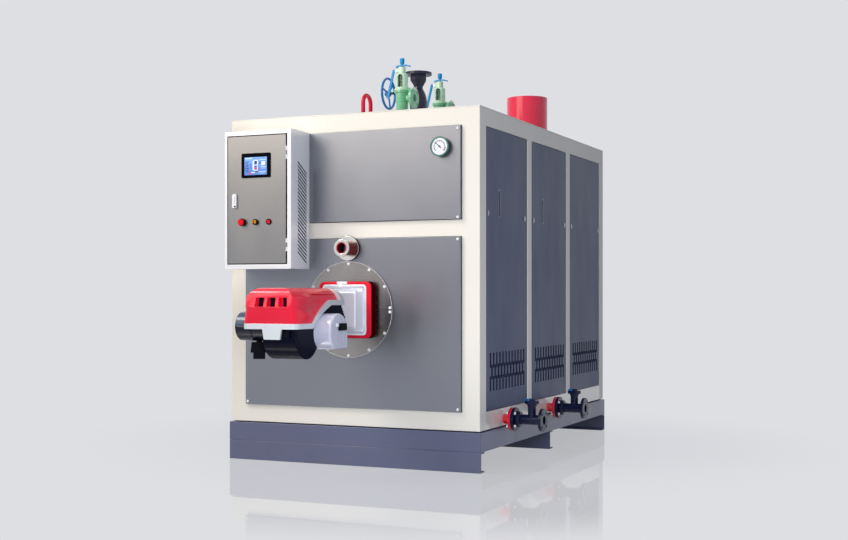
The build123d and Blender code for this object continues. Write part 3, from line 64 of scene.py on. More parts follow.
body_of = {node: body for body, group in record["behaviour"]["bodies"].items() for node in group}
scene = bpy.context.scene


def srgb(red, green, blue):
    """A colour as it shows on screen, turned into the light that a shader works with."""
    out = []
    for part in (red, green, blue):
        part = part / 255
        out.append(part / 12.92 if part <= 0.04045 else ((part + 0.055) / 1.055) ** 2.4)
    return (*out, 1.0)


def darker(color, factor):
    """The same hue at a share of its strength."""
    return (*(min(part * factor, 1.0) for part in color[:3]), 1.0)


# Finishes

class Finish:
    """A material whose nodes are added one after another."""

    def __init__(self, name, metallic=0.0, coat=0.0, coat_rough=0.08, coat_ior=1.5):
        self.material = bpy.data.materials.new(name)
        self.material.use_nodes = True
        self.tree = self.material.node_tree
        self.nodes = self.tree.nodes
        self.shader = self.nodes["Principled BSDF"]
        self.place = self.nodes.new("ShaderNodeTexCoord").outputs["Object"]
        self.shader.inputs["Metallic"].default_value = metallic
        self.shader.inputs["Coat Weight"].default_value = coat
        self.shader.inputs["Coat Roughness"].default_value = coat_rough
        self.shader.inputs["Coat IOR"].default_value = coat_ior

    def link(self, out, into):
        self.tree.links.new(out, into)

    def noise(self, scale, detail=3.0, roughness=0.5, stretch=None):
        """Noise on the object's own coordinates, stretched along an axis where asked."""
        place = self.place
        if stretch:
            mapping = self.nodes.new("ShaderNodeMapping")
            mapping.inputs["Scale"].default_value = stretch
            self.link(place, mapping.inputs["Vector"])
            place = mapping.outputs["Vector"]
        node = self.nodes.new("ShaderNodeTexNoise")
        node.inputs["Scale"].default_value = scale
        node.inputs["Detail"].default_value = detail
        node.inputs["Roughness"].default_value = roughness
        self.link(place, node.inputs["Vector"])
        return node.outputs["Fac"]

    def remap(self, value, low, high, to_low, to_high):
        """A value carried smoothly from one range to another."""
        node = self.nodes.new("ShaderNodeMapRange")
        node.interpolation_type = "SMOOTHSTEP"
        for name, number in zip(("From Min", "From Max", "To Min", "To Max"), (low, high, to_low, to_high)):
            node.inputs[name].default_value = number
        self.link(value, node.inputs["Value"])
        return node.outputs["Result"]

    def axis(self, letter):
        """One of the object's own coordinates."""
        node = self.nodes.new("ShaderNodeSeparateXYZ")
        self.link(self.place, node.inputs["Vector"])
        return node.outputs[letter]

    def math(self, kind, first, second=0.0):
        """One sum of two values, each a number or another node's result."""
        node = self.nodes.new("ShaderNodeMath")
        node.operation = kind
        for index, value in enumerate((first, second)):
            if isinstance(value, (int, float)):
                node.inputs[index].default_value = value
            else:
                self.link(value, node.inputs[index])
        return node.outputs[0]

    def within(self, letter, low, high):
        """1 between two places along an axis and 0 outside them."""
        offset = self.math("SUBTRACT", self.axis(letter), (low + high) / 2)
        return self.math("LESS_THAN", self.math("ABSOLUTE", offset), (high - low) / 2)

    def blend(self, factor, first, second):
        """A mix of two colours."""
        node = self.nodes.new("ShaderNodeMix")
        node.data_type = "RGBA"
        self.link(factor, node.inputs["Factor"])
        for socket, value in ((node.inputs[6], first), (node.inputs[7], second)):
            if isinstance(value, tuple):
                socket.default_value = value
            else:
                self.link(value, socket)
        return node.outputs[2]

    def drift(self, color, scale, spread):
        """A colour that drifts slowly between a darker and a lighter tone."""
        cloud = self.remap(self.noise(scale, 4.0, 0.6), 0.3, 0.7, 0.0, 1.0)
        return self.blend(cloud, darker(color, 1.0 - spread), darker(color, 1.0 + spread))

    def bump(self, height, distance):
        """Relief, laid on whatever relief the surface has already."""
        node = self.nodes.new("ShaderNodeBump")
        node.inputs["Distance"].default_value = distance
        self.link(height, node.inputs["Height"])
        normal = self.shader.inputs["Normal"]
        if normal.is_linked:
            self.link(normal.links[0].from_socket, node.inputs["Normal"])
        self.link(node.outputs["Normal"], normal)

    def colour(self, out):
        self.link(out, self.shader.inputs["Base Color"])

    def roughness(self, out):
        self.link(out, self.shader.inputs["Roughness"])


dust_color = srgb(120, 118, 115)
dust_height = 0.25


def paint(
    name, color, rough, coat, coat_rough=0.08, coat_ior=1.5, metallic=0.0, peel=0.00004, spread=0.04,
    grime=0.0, specular=0.5, shaded_inside=None, shaded_inside_color=srgb(16, 17, 22),
):
    """Sprayed paint: orange peel, slow drift of tone, soft smudges, dust low down and, where asked, painted
    shade: a dark matt tone inside a given box.
    """
    look = Finish(name, metallic, coat, coat_rough, coat_ior)
    look.shader.inputs["Specular IOR Level"].default_value = specular
    tone = look.drift(color, 1.3, spread)
    if grime:
        low = look.remap(look.axis("Z"), 0.0, dust_height, 1.0, 0.0)
        clouds = look.noise(9.0, detail=6.0, roughness=0.65)
        dust = look.math("MULTIPLY", low, look.remap(clouds, 0.35, 0.75, 0.0, grime))
        tone = look.blend(dust, tone, dust_color)
    # Painted shade: inside the box the tone turns dark and loses its coat and shine
    if shaded_inside:
        shade_mask = None
        for letter, (low, high) in shaded_inside.items():
            part = look.within(letter, low, high)
            shade_mask = part if shade_mask is None else look.math("MULTIPLY", shade_mask, part)
        tone = look.blend(shade_mask, tone, shaded_inside_color)
        shown = look.math("SUBTRACT", 1.0, shade_mask)
        look.link(look.math("MULTIPLY", shown, coat), look.shader.inputs["Coat Weight"])
        look.link(look.math("MULTIPLY", shown, specular), look.shader.inputs["Specular IOR Level"])
    look.colour(tone)
    smear = look.noise(5.0, detail=5.0, roughness=0.6, stretch=(1.0, 1.0, 0.35))
    look.roughness(look.remap(smear, 0.3, 0.7, max(rough - 0.03, 0.02), rough + 0.05))
    look.bump(look.noise(420.0, detail=2.0), peel)
    return look.material


def cast(name, color, rough, grain, coat, specular=0.5, lit_top_color=None, level=0.0, blend_height=0.002):
    """Painted sand casting: a coarse skin under the paint, with a lighter colour above a level where asked,
    which is painted light falling from above.
    """
    look = Finish(name, coat=coat, coat_rough=0.12)
    look.shader.inputs["Specular IOR Level"].default_value = specular
    grit = look.noise(300.0, detail=5.0, roughness=0.6)
    tone = look.drift(color, 14.0, 0.10)
    # Painted light: the part above the level gets a lighter tone, as if lit from above
    if lit_top_color:
        lit_top = look.remap(look.axis("Z"), level - blend_height, level + blend_height, 0.0, 1.0)
        tone = look.blend(lit_top, tone, look.drift(lit_top_color, 14.0, 0.06))
    hollow = look.remap(grit, 0.30, 0.46, 0.30, 0.0)
    look.colour(look.blend(hollow, tone, darker(color, 0.5)))
    look.roughness(look.remap(look.noise(60.0), 0.3, 0.7, rough - 0.06, rough + 0.08))
    look.bump(grit, grain)
    look.bump(look.noise(40.0, detail=2.0), grain * 1.5)
    return look.material


def steel(name, color, rough, grain, depth=0.00003):
    """Bare metal with fine tool or brush marks along one direction."""
    look = Finish(name, metallic=1.0)
    marks = look.noise(90.0, roughness=0.7, stretch=grain)
    look.colour(look.drift(color, 7.0, 0.07))
    look.roughness(look.remap(marks, 0.25, 0.75, max(rough - 0.06, 0.02), rough + 0.08))
    look.bump(marks, depth)
    return look.material


def plastic(name, color, rough, coat=0.0, specular=0.5):
    """Moulded plastic with a faint spark-eroded grain."""
    look = Finish(name, coat=coat)
    look.shader.inputs["Specular IOR Level"].default_value = specular
    look.colour(look.drift(color, 30.0, 0.06))
    look.roughness(look.remap(look.noise(120.0, detail=2.0), 0.3, 0.7, rough - 0.04, rough + 0.06))
    look.bump(look.noise(1500.0, detail=2.0), 0.00003)
    return look.material


def lit(name, color, strength, second=None, low=0.0, high=1.0):
    """A patch of the lit display, with a soft grain of picture points and a run from one tone to another."""
    look = Finish(name, coat=0.3)
    look.roughness(look.remap(look.noise(900.0, detail=1.0), 0.4, 0.6, 0.2, 0.3))
    look.colour(look.drift(darker(color, 0.2), 60.0, 0.1))
    tone = look.drift(color, 35.0, 0.12)
    if second:
        rise = look.remap(look.axis("Z"), low, high, 0.0, 1.0)
        tone = look.blend(rise, tone, look.drift(second, 35.0, 0.12))
    look.link(tone, look.shader.inputs["Emission Color"])
    look.shader.inputs["Emission Strength"].default_value = strength
    return look.material


# Where the painted shells and the mounting frame's face end, and painted shade begins: a dark tone inside
# the cabinet's and side panels' slots and on the mounting frame's flank
cabinet_low, cabinet_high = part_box("control_cabinet")
flange_low, flange_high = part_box("burner_mounting_frame")
panel_face_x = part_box("side_panels_right")[1][0]
skin = 0.0025
flank_margins = (0.005, 0.003)
operator_reach = 0.030
cabinet_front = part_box("emergency_stop")[0][1] + operator_reach
slot_lip = 0.0006
cabinet_shaded_inside = {
    "X": (cabinet_low[0] + slot_lip, cabinet_high[0] - slot_lip),
    "Y": (cabinet_front + skin, cabinet_high[1]),
    "Z": (cabinet_low[2] + skin, cabinet_high[2] - skin),
}
panel_shaded_inside = {"X": (-panel_face_x + skin, panel_face_x - skin)}
frame_shaded_flank = {"Y": (flange_low[1] + flank_margins[0], flange_high[1] - flank_margins[1])}

looks = {
    "frame_white": paint(
        "frame_white_paint", srgb(238, 234, 224), 0.4, coat=0.15, coat_rough=0.12, specular=0.3, spread=0.015
    ),
    "front_grey": paint(
        "front_panel_satin", srgb(139, 142, 151), 0.31, coat=0.0, metallic=0.9, peel=0.00002, spread=0.02
    ),
    # The side panels' louvre interiors are painted dark as shade
    "side_slate": paint(
        "side_panel_paint", srgb(58, 72, 104), 0.42, coat=0.0, specular=0.3, shaded_inside=panel_shaded_inside,
        shaded_inside_color=srgb(42, 46, 62),
    ),
    "base_slate": paint("base_channel_paint", srgb(92, 97, 126), 0.36, coat=0.2, grime=0.15),
    "core_dark": paint("insulation_jacket", srgb(24, 25, 29), 0.8, coat=0.0, peel=0.0004),
    "plate_steel": steel(
        "burner_plate_steel", srgb(158, 154, 153), 0.24, grain=(1.0, 1.0, 60.0), depth=0.00001
    ),
    "burner_red": paint("burner_red_paint", srgb(226, 22, 50), 0.2, coat=0.8, spread=0.03),
    "tray_white": paint("tray_white_paint", srgb(240, 242, 248), 0.42, coat=0.1, spread=0.02),
    "rim_silver": paint("rim_aluminium_paint", srgb(216, 222, 228), 0.3, coat=0.3, metallic=0.5),
    "casting_dark": cast("burner_casting", srgb(7, 10, 30), 0.16, 0.00003, coat=0.0, specular=0.06),
    # The motor's upper half is painted lighter, as light falling on it from above
    "motor_dark": cast(
        "motor_paint", srgb(14, 18, 38), 0.18, 0.00003, coat=0.0, specular=0.3,
        lit_top_color=srgb(66, 82, 104), level=0.867,
    ),
    "air_box_grey": paint("air_box_paint", srgb(206, 206, 224), 0.24, coat=0.8, coat_ior=1.6, spread=0.03),
    "cover_black": plastic("black_plastic", srgb(10, 11, 18), 0.34, specular=0.08),
    "flange_steel": steel(
        "sight_port_steel", srgb(236, 232, 226), 0.1, grain=(1.0, 30.0, 1.0), depth=0.00001
    ),
    "gauge_teal": paint("gauge_bezel_paint", srgb(44, 112, 104), 0.2, coat=0.6, spread=0.02),
    "gauge_face": plastic("gauge_dial_print", srgb(236, 240, 250), 0.4, coat=1.0),
    "cabinet_grey": paint(
        "cabinet_door_satin", srgb(146, 146, 148), 0.30, coat=0.0, metallic=0.9, peel=0.00002, spread=0.02
    ),
    "plate_zinc": steel("zinc_plate", srgb(176, 180, 186), 0.34, grain=(1.0, 1.0, 30.0)),
    "screen_black": plastic("screen_housing", srgb(6, 6, 11), 0.2, specular=0.03),
    "stop_red": plastic("stop_red_plastic", srgb(222, 10, 28), 0.24, coat=0.1, specular=0.2),
    "selector_yellow": plastic("selector_plastic", srgb(255, 168, 20), 0.24, coat=0.1, specular=0.2),
    "handle_white": plastic("handle_white_plastic", srgb(236, 238, 242), 0.24, coat=0.4),
    "valve_navy": cast("blowdown_valve_paint", srgb(18, 25, 58), 0.26, 0.00005, coat=0.15, specular=0.2),
    # The safety valves are painted lighter above the flange line, as light falling on the bonnets from above
    "valve_mint": cast(
        "safety_valve_paint", srgb(118, 194, 150), 0.28, 0.00008, coat=0.5,
        lit_top_color=srgb(204, 244, 210), level=2.400, blend_height=0.004,
    ),
    "lever_blue": paint("lever_blue_paint", srgb(0, 146, 214), 0.34, coat=0.1, specular=0.3, spread=0.03),
    "spring_steel": steel("spring_wire", srgb(120, 132, 126), 0.3, grain=(1.0, 1.0, 20.0)),
    "wheel_blue": paint("handwheel_blue_paint", srgb(0, 120, 200), 0.26, coat=0.3, specular=0.3),
    "stop_valve_violet": cast("stop_valve_paint", srgb(42, 40, 66), 0.3, 0.00005, coat=0.2, specular=0.3),
}
node_looks = {
    # The cabinet body's slot interiors are painted dark as shade
    "control_cabinet": paint(
        "cabinet_body_paint", srgb(238, 240, 244), 0.32, coat=1.0, coat_rough=0.16, coat_ior=1.8,
        spread=0.012, shaded_inside=cabinet_shaded_inside,
    ),
    # The mounting frame's flank is painted dark red as shade
    "burner_mounting_frame": paint(
        "mounting_frame_paint", srgb(226, 22, 50), 0.4, coat=0.0, specular=0.25, shaded_inside=frame_shaded_flank,
        shaded_inside_color=srgb(66, 2, 12),
    ),
    "burner_hood": paint(
        "burner_hood_paint", srgb(234, 24, 58), 0.32, coat=0.35, coat_rough=0.1, specular=0.2, spread=0.02
    ),
    "sight_tube": paint("sight_tube_paint", srgb(104, 3, 18), 0.35, coat=0.0, specular=0.08, spread=0.03),
    "rear_panels": paint("rear_panel_paint", srgb(58, 72, 104), 0.42, coat=0.0, specular=0.3),
    "bottom_rails": paint(
        "bottom_rail_paint", srgb(238, 234, 224), 0.34, coat=1.0, coat_rough=0.14, coat_ior=1.7, spread=0.015
    ),
    "flue": paint("flue_paint", srgb(252, 44, 82), 0.26, coat=0.7, specular=0.2, spread=0.02),
    "lifting_ring": paint("lifting_ring_paint", srgb(208, 14, 52), 0.3, coat=0.2, specular=0.2, spread=0.02),
}
# White zinc for the fasteners, also used as a painted highlight on the burner plate's edge
zinc_and_painted_highlight = paint("fastener_zinc_and_painted_highlight", srgb(250, 251, 254), 0.3, coat=0.6)
nut_zinc = steel("dull_nut_zinc", srgb(178, 180, 192), 0.34, grain=(1.0, 1.0, 1.0))
# Black for painted shade in recesses and on shaded edges
shade_black = plastic("painted_shade_black", srgb(10, 11, 15), 0.7)


def finish_of(node):
    """The finish of a CAD node, its own where it has one."""
    return node_looks.get(node, looks[slot_of[node]])


for node, part in frame["nodes"].items():
    part.data.materials.clear()
    part.data.materials.append(finish_of(node))


# Pieces

forward, up = (0, -1, 0), (0, 0, 1)
weld = 0.00001
flat_angle = 0.5
bevel_angle = 30
box_tolerance = 0.0002


def piece(name, bm, material, body, smooth=35, bevel=0.0, stands_for=()):
    """A finished mesh becomes a piece that rides on its body."""
    bmesh.ops.recalc_face_normals(bm, faces=bm.faces[:])
    mesh = bpy.data.meshes.new(name)
    bm.to_mesh(mesh)
    bm.free()
    mesh.materials.append(material)
    mesh.polygons.foreach_set("use_smooth", [True] * len(mesh.polygons))
    mesh.set_sharp_from_angle(angle=radians(smooth))
    made = bpy.data.objects.new(name, mesh)
    scene.collection.objects.link(made)
    if bevel:
        ease = made.modifiers.new("eased_edges", "BEVEL")
        ease.width = bevel
        ease.segments = 2
        ease.limit_method = "ANGLE"
        ease.angle_limit = radians(bevel_angle)
        ease.use_clamp_overlap = True
        ease.harden_normals = True
        ease.miter_outer = "MITER_ARC"
    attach(made, body)
    if stands_for:
        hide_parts(*stands_for)
    return made


def merged(node, flat=True):
    """A CAD node's mesh with its loose triangles joined, and flat faces made whole where asked."""
    bm = bmesh.new()
    bm.from_mesh(frame["nodes"][node].data)
    bmesh.ops.remove_doubles(bm, verts=bm.verts[:], dist=weld)
    if flat:
        bmesh.ops.dissolve_limit(
            bm, angle_limit=radians(flat_angle), verts=bm.verts[:], edges=bm.edges[:],
            use_dissolve_boundaries=False,
        )
    return bm


def eased(node, width):
    """A copy of a CAD node whose sharp edges are rounded, in place of the node."""
    piece(
        f"{node}_eased", merged(node), finish_of(node), body_of[node], smooth=32,
        bevel=width, stands_for=(node,),
    )


def outline_eased(node, width, low, high, planes=2, shortest=0.0, flat=True):
    """A copy of a CAD node that is rounded only where it forms the edges of a box."""
    bm = merged(node, flat)
    chosen = []
    for edge in bm.edges:
        shared = [
            axis for axis in range(3) for limit in (low, high)
            if all(abs(vert.co[axis] - limit[axis]) < box_tolerance for vert in edge.verts)
        ]
        if len(shared) >= planes and edge.calc_length() > shortest:
            chosen.append(edge)
    bmesh.ops.bevel(
        bm, geom=chosen, offset=width, offset_type="OFFSET", segments=3, profile=0.5, material=-1,
        affect="EDGES", clamp_overlap=True,
    )
    made = piece(
        f"{node}_eased", bm, finish_of(node), body_of[node], smooth=32, stands_for=(node,)
    )
    made.modifiers.new("flat_faces_stay_flat", "WEIGHTED_NORMAL").keep_sharp = True


def turn_to(direction):
    """The rotation that takes +Z to a direction."""
    return Vector(up).rotation_difference(Vector(direction)).to_matrix().to_4x4()


def disc(bm, centre, direction, radius, depth, sides, top=None):
    """A closed disc or cone that starts at a centre and grows along a direction."""
    top = radius if top is None else top
    place = Matrix.Translation(Vector(centre)) @ turn_to(direction) @ Matrix.Translation((0, 0, depth / 2))
    return bmesh.ops.create_cone(
        bm, cap_ends=True, cap_tris=False, segments=sides, radius1=radius, radius2=top, depth=depth,
        matrix=place,
    )["verts"]


def ring(bm, centre, direction, inner, outer, depth, sides):
    """A flat ring that starts at a centre and grows along a direction."""
    place = Matrix.Translation(Vector(centre)) @ turn_to(direction)
    edges = []
    verts = []
    for radius in (inner, outer):
        loop = bmesh.ops.create_circle(
            bm, cap_ends=False, segments=sides, radius=radius, matrix=place
        )["verts"]
        verts += loop
        edges += list({edge for vert in loop for edge in vert.link_edges})
    faces = bmesh.ops.bridge_loops(bm, edges=edges)["faces"]
    grown = bmesh.ops.extrude_face_region(bm, geom=faces)["geom"]
    raised = [item for item in grown if isinstance(item, bmesh.types.BMVert)]
    bmesh.ops.translate(bm, verts=raised, vec=Vector(direction).normalized() * depth)
    return verts + raised


def block(bm, low, high):
    """A block between two opposite corners."""
    low, high = Vector(low), Vector(high)
    place = Matrix.Translation((low + high) / 2) @ Matrix.Diagonal((*(high - low), 1))
    bmesh.ops.create_cube(bm, size=1.0, matrix=place)


# Shares of a pan head's radius and height
crown_share, socket_share, socket_depth = 0.76, 0.36, 0.2
# Shares of a hexagon's width across flats and of its height
washer_radius, corner_radius, stud_radius, stud_tip = 0.60, 0.577, 0.40, 0.34
washer_height, hexagon_height = 0.15, 0.70
head_sides = 20


def pan_head(bm, place, direction, radius, height):
    """A pan head with a round socket sunk in its crown."""
    rise = Vector(direction).normalized()
    verts = disc(bm, place, rise, radius, height, head_sides, top=radius * crown_share)
    faces = {face for vert in verts for face in vert.link_faces}
    crown = max(faces, key=lambda face: face.calc_center_median().dot(rise))
    bmesh.ops.inset_region(bm, faces=[crown], thickness=radius * socket_share)
    sunk = bmesh.ops.extrude_face_region(bm, geom=[crown])["geom"]
    floor_verts = [item for item in sunk if isinstance(item, bmesh.types.BMVert)]
    bmesh.ops.translate(bm, verts=floor_verts, vec=rise * -height * socket_depth)


def pan_heads(name, places, direction, radius, height):
    """A set of pan-head screws that sit on one face."""
    bm = bmesh.new()
    for place in places:
        pan_head(bm, place, direction, radius, height)
    piece(name, bm, zinc_and_painted_highlight, "boiler", smooth=40)


def hex_head(bm, place, direction, across, height):
    """A hexagon head or nut on its washer, with the stud's end standing out of it."""
    rise = Vector(direction).normalized()
    seat = Vector(place) + rise * height * washer_height
    tip = Vector(place) + rise * height * (washer_height + hexagon_height)
    disc(bm, place, rise, across * washer_radius, height * washer_height, head_sides)
    disc(bm, seat, rise, across * corner_radius, height * hexagon_height, sides=6)
    disc(bm, tip, rise, across * stud_radius, height * washer_height, head_sides, top=across * stud_tip)


def bolt_ring(bm, centre, direction, circle, count, across, height, first):
    """Hexagon heads spaced evenly round a flange."""
    turn = turn_to(direction).to_3x3()
    for index in range(count):
        angle = first + 2 * pi * index / count
        offset = turn @ Vector((cos(angle), sin(angle), 0)) * circle / 2
        hex_head(bm, Vector(centre) + offset, direction, across, height)


def stadium(verts, centre, straight):
    """Pulls a round shape apart upwards and downwards, so that it gets straight sides."""
    for vert in verts:
        vert.co.z += copysign(straight / 2, vert.co.z - centre[2])


# Rounded edges of the casing, the burner, the cabinet and the valves

casing_low, casing_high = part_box("corner_posts")
roof_low, roof_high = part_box("roof_panel")
for node in ("corner_posts", "top_rails", "bottom_rails"):
    outline_eased(node, 0.004, casing_low, casing_high)
outline_eased("side_posts", 0.009, casing_low, casing_high, planes=1, shortest=1.0)
outline_eased("roof_panel", 0.002, roof_low, roof_high)
outline_eased("control_cabinet", 0.003, cabinet_low, cabinet_high, flat=False)
for node in ("front_lower_panel", "front_upper_panel"):
    outline_eased(node, 0.003, *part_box(node))
for node, width in (
    ("skid_beams", 0.003), ("base_side_beams", 0.003), ("base_end_beams", 0.003), ("rear_panels", 0.002),
    ("burner_mounting_frame", 0.006), ("burner_tray", 0.003), ("burner_neck", 0.002),
    ("burner_rim", 0.002), ("burner_housing", 0.003), ("burner_motor", 0.004), ("terminal_box", 0.004),
    ("touch_screen", 0.002), ("flue", 0.001), ("door_handle", 0.003), ("gauge_case", 0.002),
    ("sight_flange", 0.002), ("sight_ring", 0.002),
    ("stop_valve_body", 0.003), ("blowdown_valve_1", 0.003), ("blowdown_valve_2", 0.003),
    ("blowdown_stubs", 0.003), ("safety_valve_1", 0.002), ("safety_valve_2", 0.002),
    ("safety_cap_1", 0.001), ("safety_cap_2", 0.001), ("safety_lever_1", 0.002), ("safety_lever_2", 0.002),
):
    eased(node, width)

# The hood is a moulding: it narrows upwards, and its crown is rounded more than its other edges
crown_z = 1.034
crown_angles = (18, 120)
crown_radius, crown_steps = 0.028, 6
hood_taper = 0.9
hood_low, hood_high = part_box("burner_hood")
hood_middle = (hood_low[0] + hood_high[0]) / 2
bm = merged("burner_hood")
for vert in bm.verts:
    vert.co.x -= (vert.co.x - hood_middle) * hood_taper * (vert.co.z - hood_low[2])
crown = [
    edge for edge in bm.edges
    if all(vert.co.z > crown_z for vert in edge.verts) and edge.is_manifold
    and radians(crown_angles[0]) < edge.calc_face_angle_signed() < radians(crown_angles[1])
]
bmesh.ops.bevel(
    bm, geom=crown, offset=crown_radius, offset_type="OFFSET", segments=crown_steps, profile=0.5,
    material=-1, affect="EDGES", clamp_overlap=True,
)
piece(
    "burner_hood_eased", bm, finish_of("burner_hood"), "boiler", smooth=40, bevel=0.003,
    stands_for=("burner_hood",),
)

# Screws of the front and rear panels
front_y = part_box("front_lower_panel")[0][1]
rear_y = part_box("rear_panels")[1][1]
screw_x = 0.718
screw_heights = (2.021, 1.500, 1.371, 0.370)
screw_radius, front_head, rear_head = 0.009, 0.007, 0.004
panel_screws = [(side * screw_x, z) for side in (-1, 1) for z in screw_heights]
pan_heads(
    "front_panel_screws",
    [(x, front_y, z) for x, z in panel_screws if x > 0 or z < cabinet_low[2]],
    forward, screw_radius, front_head,
)
pan_heads(
    "rear_panel_screws", [(x, rear_y, z) for x, z in panel_screws], (0, 1, 0), screw_radius, rear_head
)

# Catches and finger slots of the side panels
catch_places = (-1.155, -0.505, -0.330, 0.328, 0.490, 1.164)
catch_z = 1.529
catch_radius, catch_flattened, catch_thickness = 0.0175, 0.58, 0.003
catch_pin, catch_pin_top, catch_pin_length = 0.0065, 0.005, 0.005
finger_slots = (-0.967, -0.141)
slot_z = 1.597
slot_radius = 0.010
slot_straight = 0.142
slot_depth = 0.014
slot_rim_width, slot_rim_height = 0.003, 0.0015
slot_floor_lift, slot_floor_gap, slot_floor_height = 0.0002, 0.0004, 0.001
catches = bmesh.new()
slot_frames = bmesh.new()
slot_shades = bmesh.new()
for side in (-1, 1):
    out = (side, 0, 0)
    for y in catch_places:
        place = Vector((side * panel_face_x, y, catch_z))
        plate = disc(catches, place, out, catch_radius, catch_thickness, sides=24)
        bmesh.ops.scale(
            catches, vec=(1, catch_flattened, 1), space=Matrix.Translation(-place), verts=plate
        )
        pin_foot = place + Vector(out) * catch_thickness
        disc(catches, pin_foot, out, catch_pin, catch_pin_length, sides=16, top=catch_pin_top)
    for y in finger_slots:
        place = Vector((side * panel_face_x, y, slot_z))
        rim = ring(
            slot_frames, place, out, slot_radius, slot_radius + slot_rim_width, slot_rim_height, sides=24
        )
        stadium(rim, place, slot_straight)
        # Painted shade: a black disc at the floor of each finger slot
        floor_place = place - Vector(out) * (slot_depth - slot_floor_lift)
        back = disc(
            slot_shades, floor_place, out, slot_radius - slot_floor_gap, slot_floor_height, sides=24
        )
        stadium(back, floor_place, slot_straight)
piece("side_panel_catches", catches, nut_zinc, "boiler", bevel=0.0006)
piece("finger_slot_frames", slot_frames, nut_zinc, "boiler")
piece("finger_slot_painted_shade", slot_shades, shade_black, "boiler")

# Burner plate and the small pieces on the burner
plate_x, plate_z = 0.004, 0.952
plate_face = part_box("burner_plate_upper")[0][1]
plate_radius = 0.293
plate_highlight_inner, plate_highlight_outer, plate_highlight_height = 0.0018, 0.0002, 0.0008
screw_circle = 0.279
split_angle = 2.6
plate_head_radius, plate_head_height = 0.0095, 0.006
angles = [step for step in range(0, 360, 30) if step % 180]
angles += [half + offset for half in (0, 180) for offset in (-split_angle, split_angle)]
turns = [radians(angle) for angle in angles]
pan_heads(
    "burner_plate_screws",
    [
        (plate_x + screw_circle * cos(turn), plate_face, plate_z + screw_circle * sin(turn))
        for turn in turns
    ],
    forward, plate_head_radius, plate_head_height,
)
# Painted highlight: a thin bright ring on the burner plate's edge
bm = bmesh.new()
ring(
    bm, (plate_x, plate_face, plate_z), forward, plate_radius - plate_highlight_inner,
    plate_radius - plate_highlight_outer, plate_highlight_height, sides=128,
)
piece("burner_plate_painted_highlight", bm, zinc_and_painted_highlight, "boiler")

tray_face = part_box("burner_tray")[0][1]
bm = bmesh.new()
# Left, right, foot, top and thickness of each bracket
for left, right, foot, top, thickness in (
    (-0.043, 0.025, 1.108, 1.123, 0.004), (-0.034, -0.008, 1.088, 1.108, 0.004),
    (0.098, 0.128, 1.062, 1.078, 0.003),
):
    block(bm, (left, tray_face - thickness, foot), (right, tray_face, top))
piece("tray_brackets", bm, looks["handle_white"], "boiler", bevel=0.001)
tray_screw_x, tray_screw_z, tray_middle_screw_x = (-0.118, 0.126), (0.826, 1.078), 0.075
tray_head_radius, tray_head_height = 0.006, 0.004
pan_heads(
    "tray_screws",
    [(x, tray_face, z) for x in tray_screw_x for z in tray_screw_z]
    + [(tray_middle_screw_x, tray_face, tray_screw_z[0])],
    forward, tray_head_radius, tray_head_height,
)
# Painted shade: a dark block at the floor of each window pocket in the hood, for the shade inside the
# windows
bm = bmesh.new()
window_pitch, window_x, window_z = 0.081, 0.011, 1.003
window_half_width, window_half_height = 0.0295, 0.0245
window_floor_y = -2.205
window_back_front, window_back_rear = window_floor_y - 0.0015, window_floor_y - 0.0002
for step in (-1, 0, 1):
    x = window_x + step * window_pitch
    block(
        bm, (x - window_half_width, window_back_front, window_z - window_half_height),
        (x + window_half_width, window_back_rear, window_z + window_half_height),
    )
window_shade_black = plastic("window_painted_shade_black", srgb(6, 10, 30), 0.3, specular=0.2)
piece("hood_window_painted_shade", bm, window_shade_black, "boiler")
rim_block_low, rim_block_high = (0.070, -2.2345, 0.812), (0.112, -2.2195, 0.846)
bm = bmesh.new()
block(bm, rim_block_low, rim_block_high)
piece("rim_block", bm, looks["cover_black"], "boiler", bevel=0.003)
motor_low, motor_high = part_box("burner_motor")
seam_foot, seam_top = 0.864, 0.870
seam_left, seam_right = motor_low[0] + 0.030, motor_high[0] - 0.004
seam_rise, seam_root = 0.0005, 0.004
bm = bmesh.new()
block(
    bm, (seam_left, motor_low[1] - seam_rise, seam_foot), (seam_right, motor_low[1] + seam_root, seam_top)
)
piece("motor_seam_strip", bm, plastic("motor_seam_brown", srgb(104, 92, 88), 0.4), "boiler")
cover_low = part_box("damper_cover")[0]
tab_foot, tab_top, tab_thickness = 0.865, 0.884, 0.006
tab_reach, tab_gap = 0.022, 0.001
bm = bmesh.new()
block(
    bm, (cover_low[0], cover_low[1] - tab_reach, tab_foot),
    (cover_low[0] + tab_thickness, cover_low[1] - tab_gap, tab_top),
)
piece("damper_tab", bm, looks["tray_white"], "boiler", bevel=0.001)

# Sight port
sight_z = 1.325
sight_bore = 0.0346
glass_y, glass_thickness = -1.362, 0.003
flange_shade_inner, flange_shade_outer, flange_shade_height = 0.0749, 0.0756, 0.0165
bush_bore, bush_depth, bush_length = 0.0305, 0.010, 0.009
sight_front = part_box("sight_ring")[0][1]
# The sight glass is glossy glass, and its black colour is painted shade for the dark space behind it
bm = bmesh.new()
disc(bm, (0, glass_y, sight_z), forward, sight_bore, glass_thickness, sides=48)
glass_and_shade_black = plastic("sight_glass_painted_shade", srgb(10, 8, 14), 0.06, coat=1.0)
piece("sight_glass", bm, glass_and_shade_black, "boiler")
# Painted shade: a thin black band round the sight flange's rim, for its shaded edge
bm = bmesh.new()
ring(bm, (0, front_y, sight_z), forward, flange_shade_inner, flange_shade_outer, flange_shade_height, sides=64)
piece("sight_flange_painted_shade", bm, shade_black, "boiler")
bm = bmesh.new()
ring(
    bm, (0, sight_front + bush_depth, sight_z), forward, bush_bore, sight_bore, bush_length, sides=48
)
bush_red = paint("sight_bush_paint", srgb(190, 60, 78), 0.25, coat=0.4)
piece("sight_bush", bm, bush_red, "boiler")

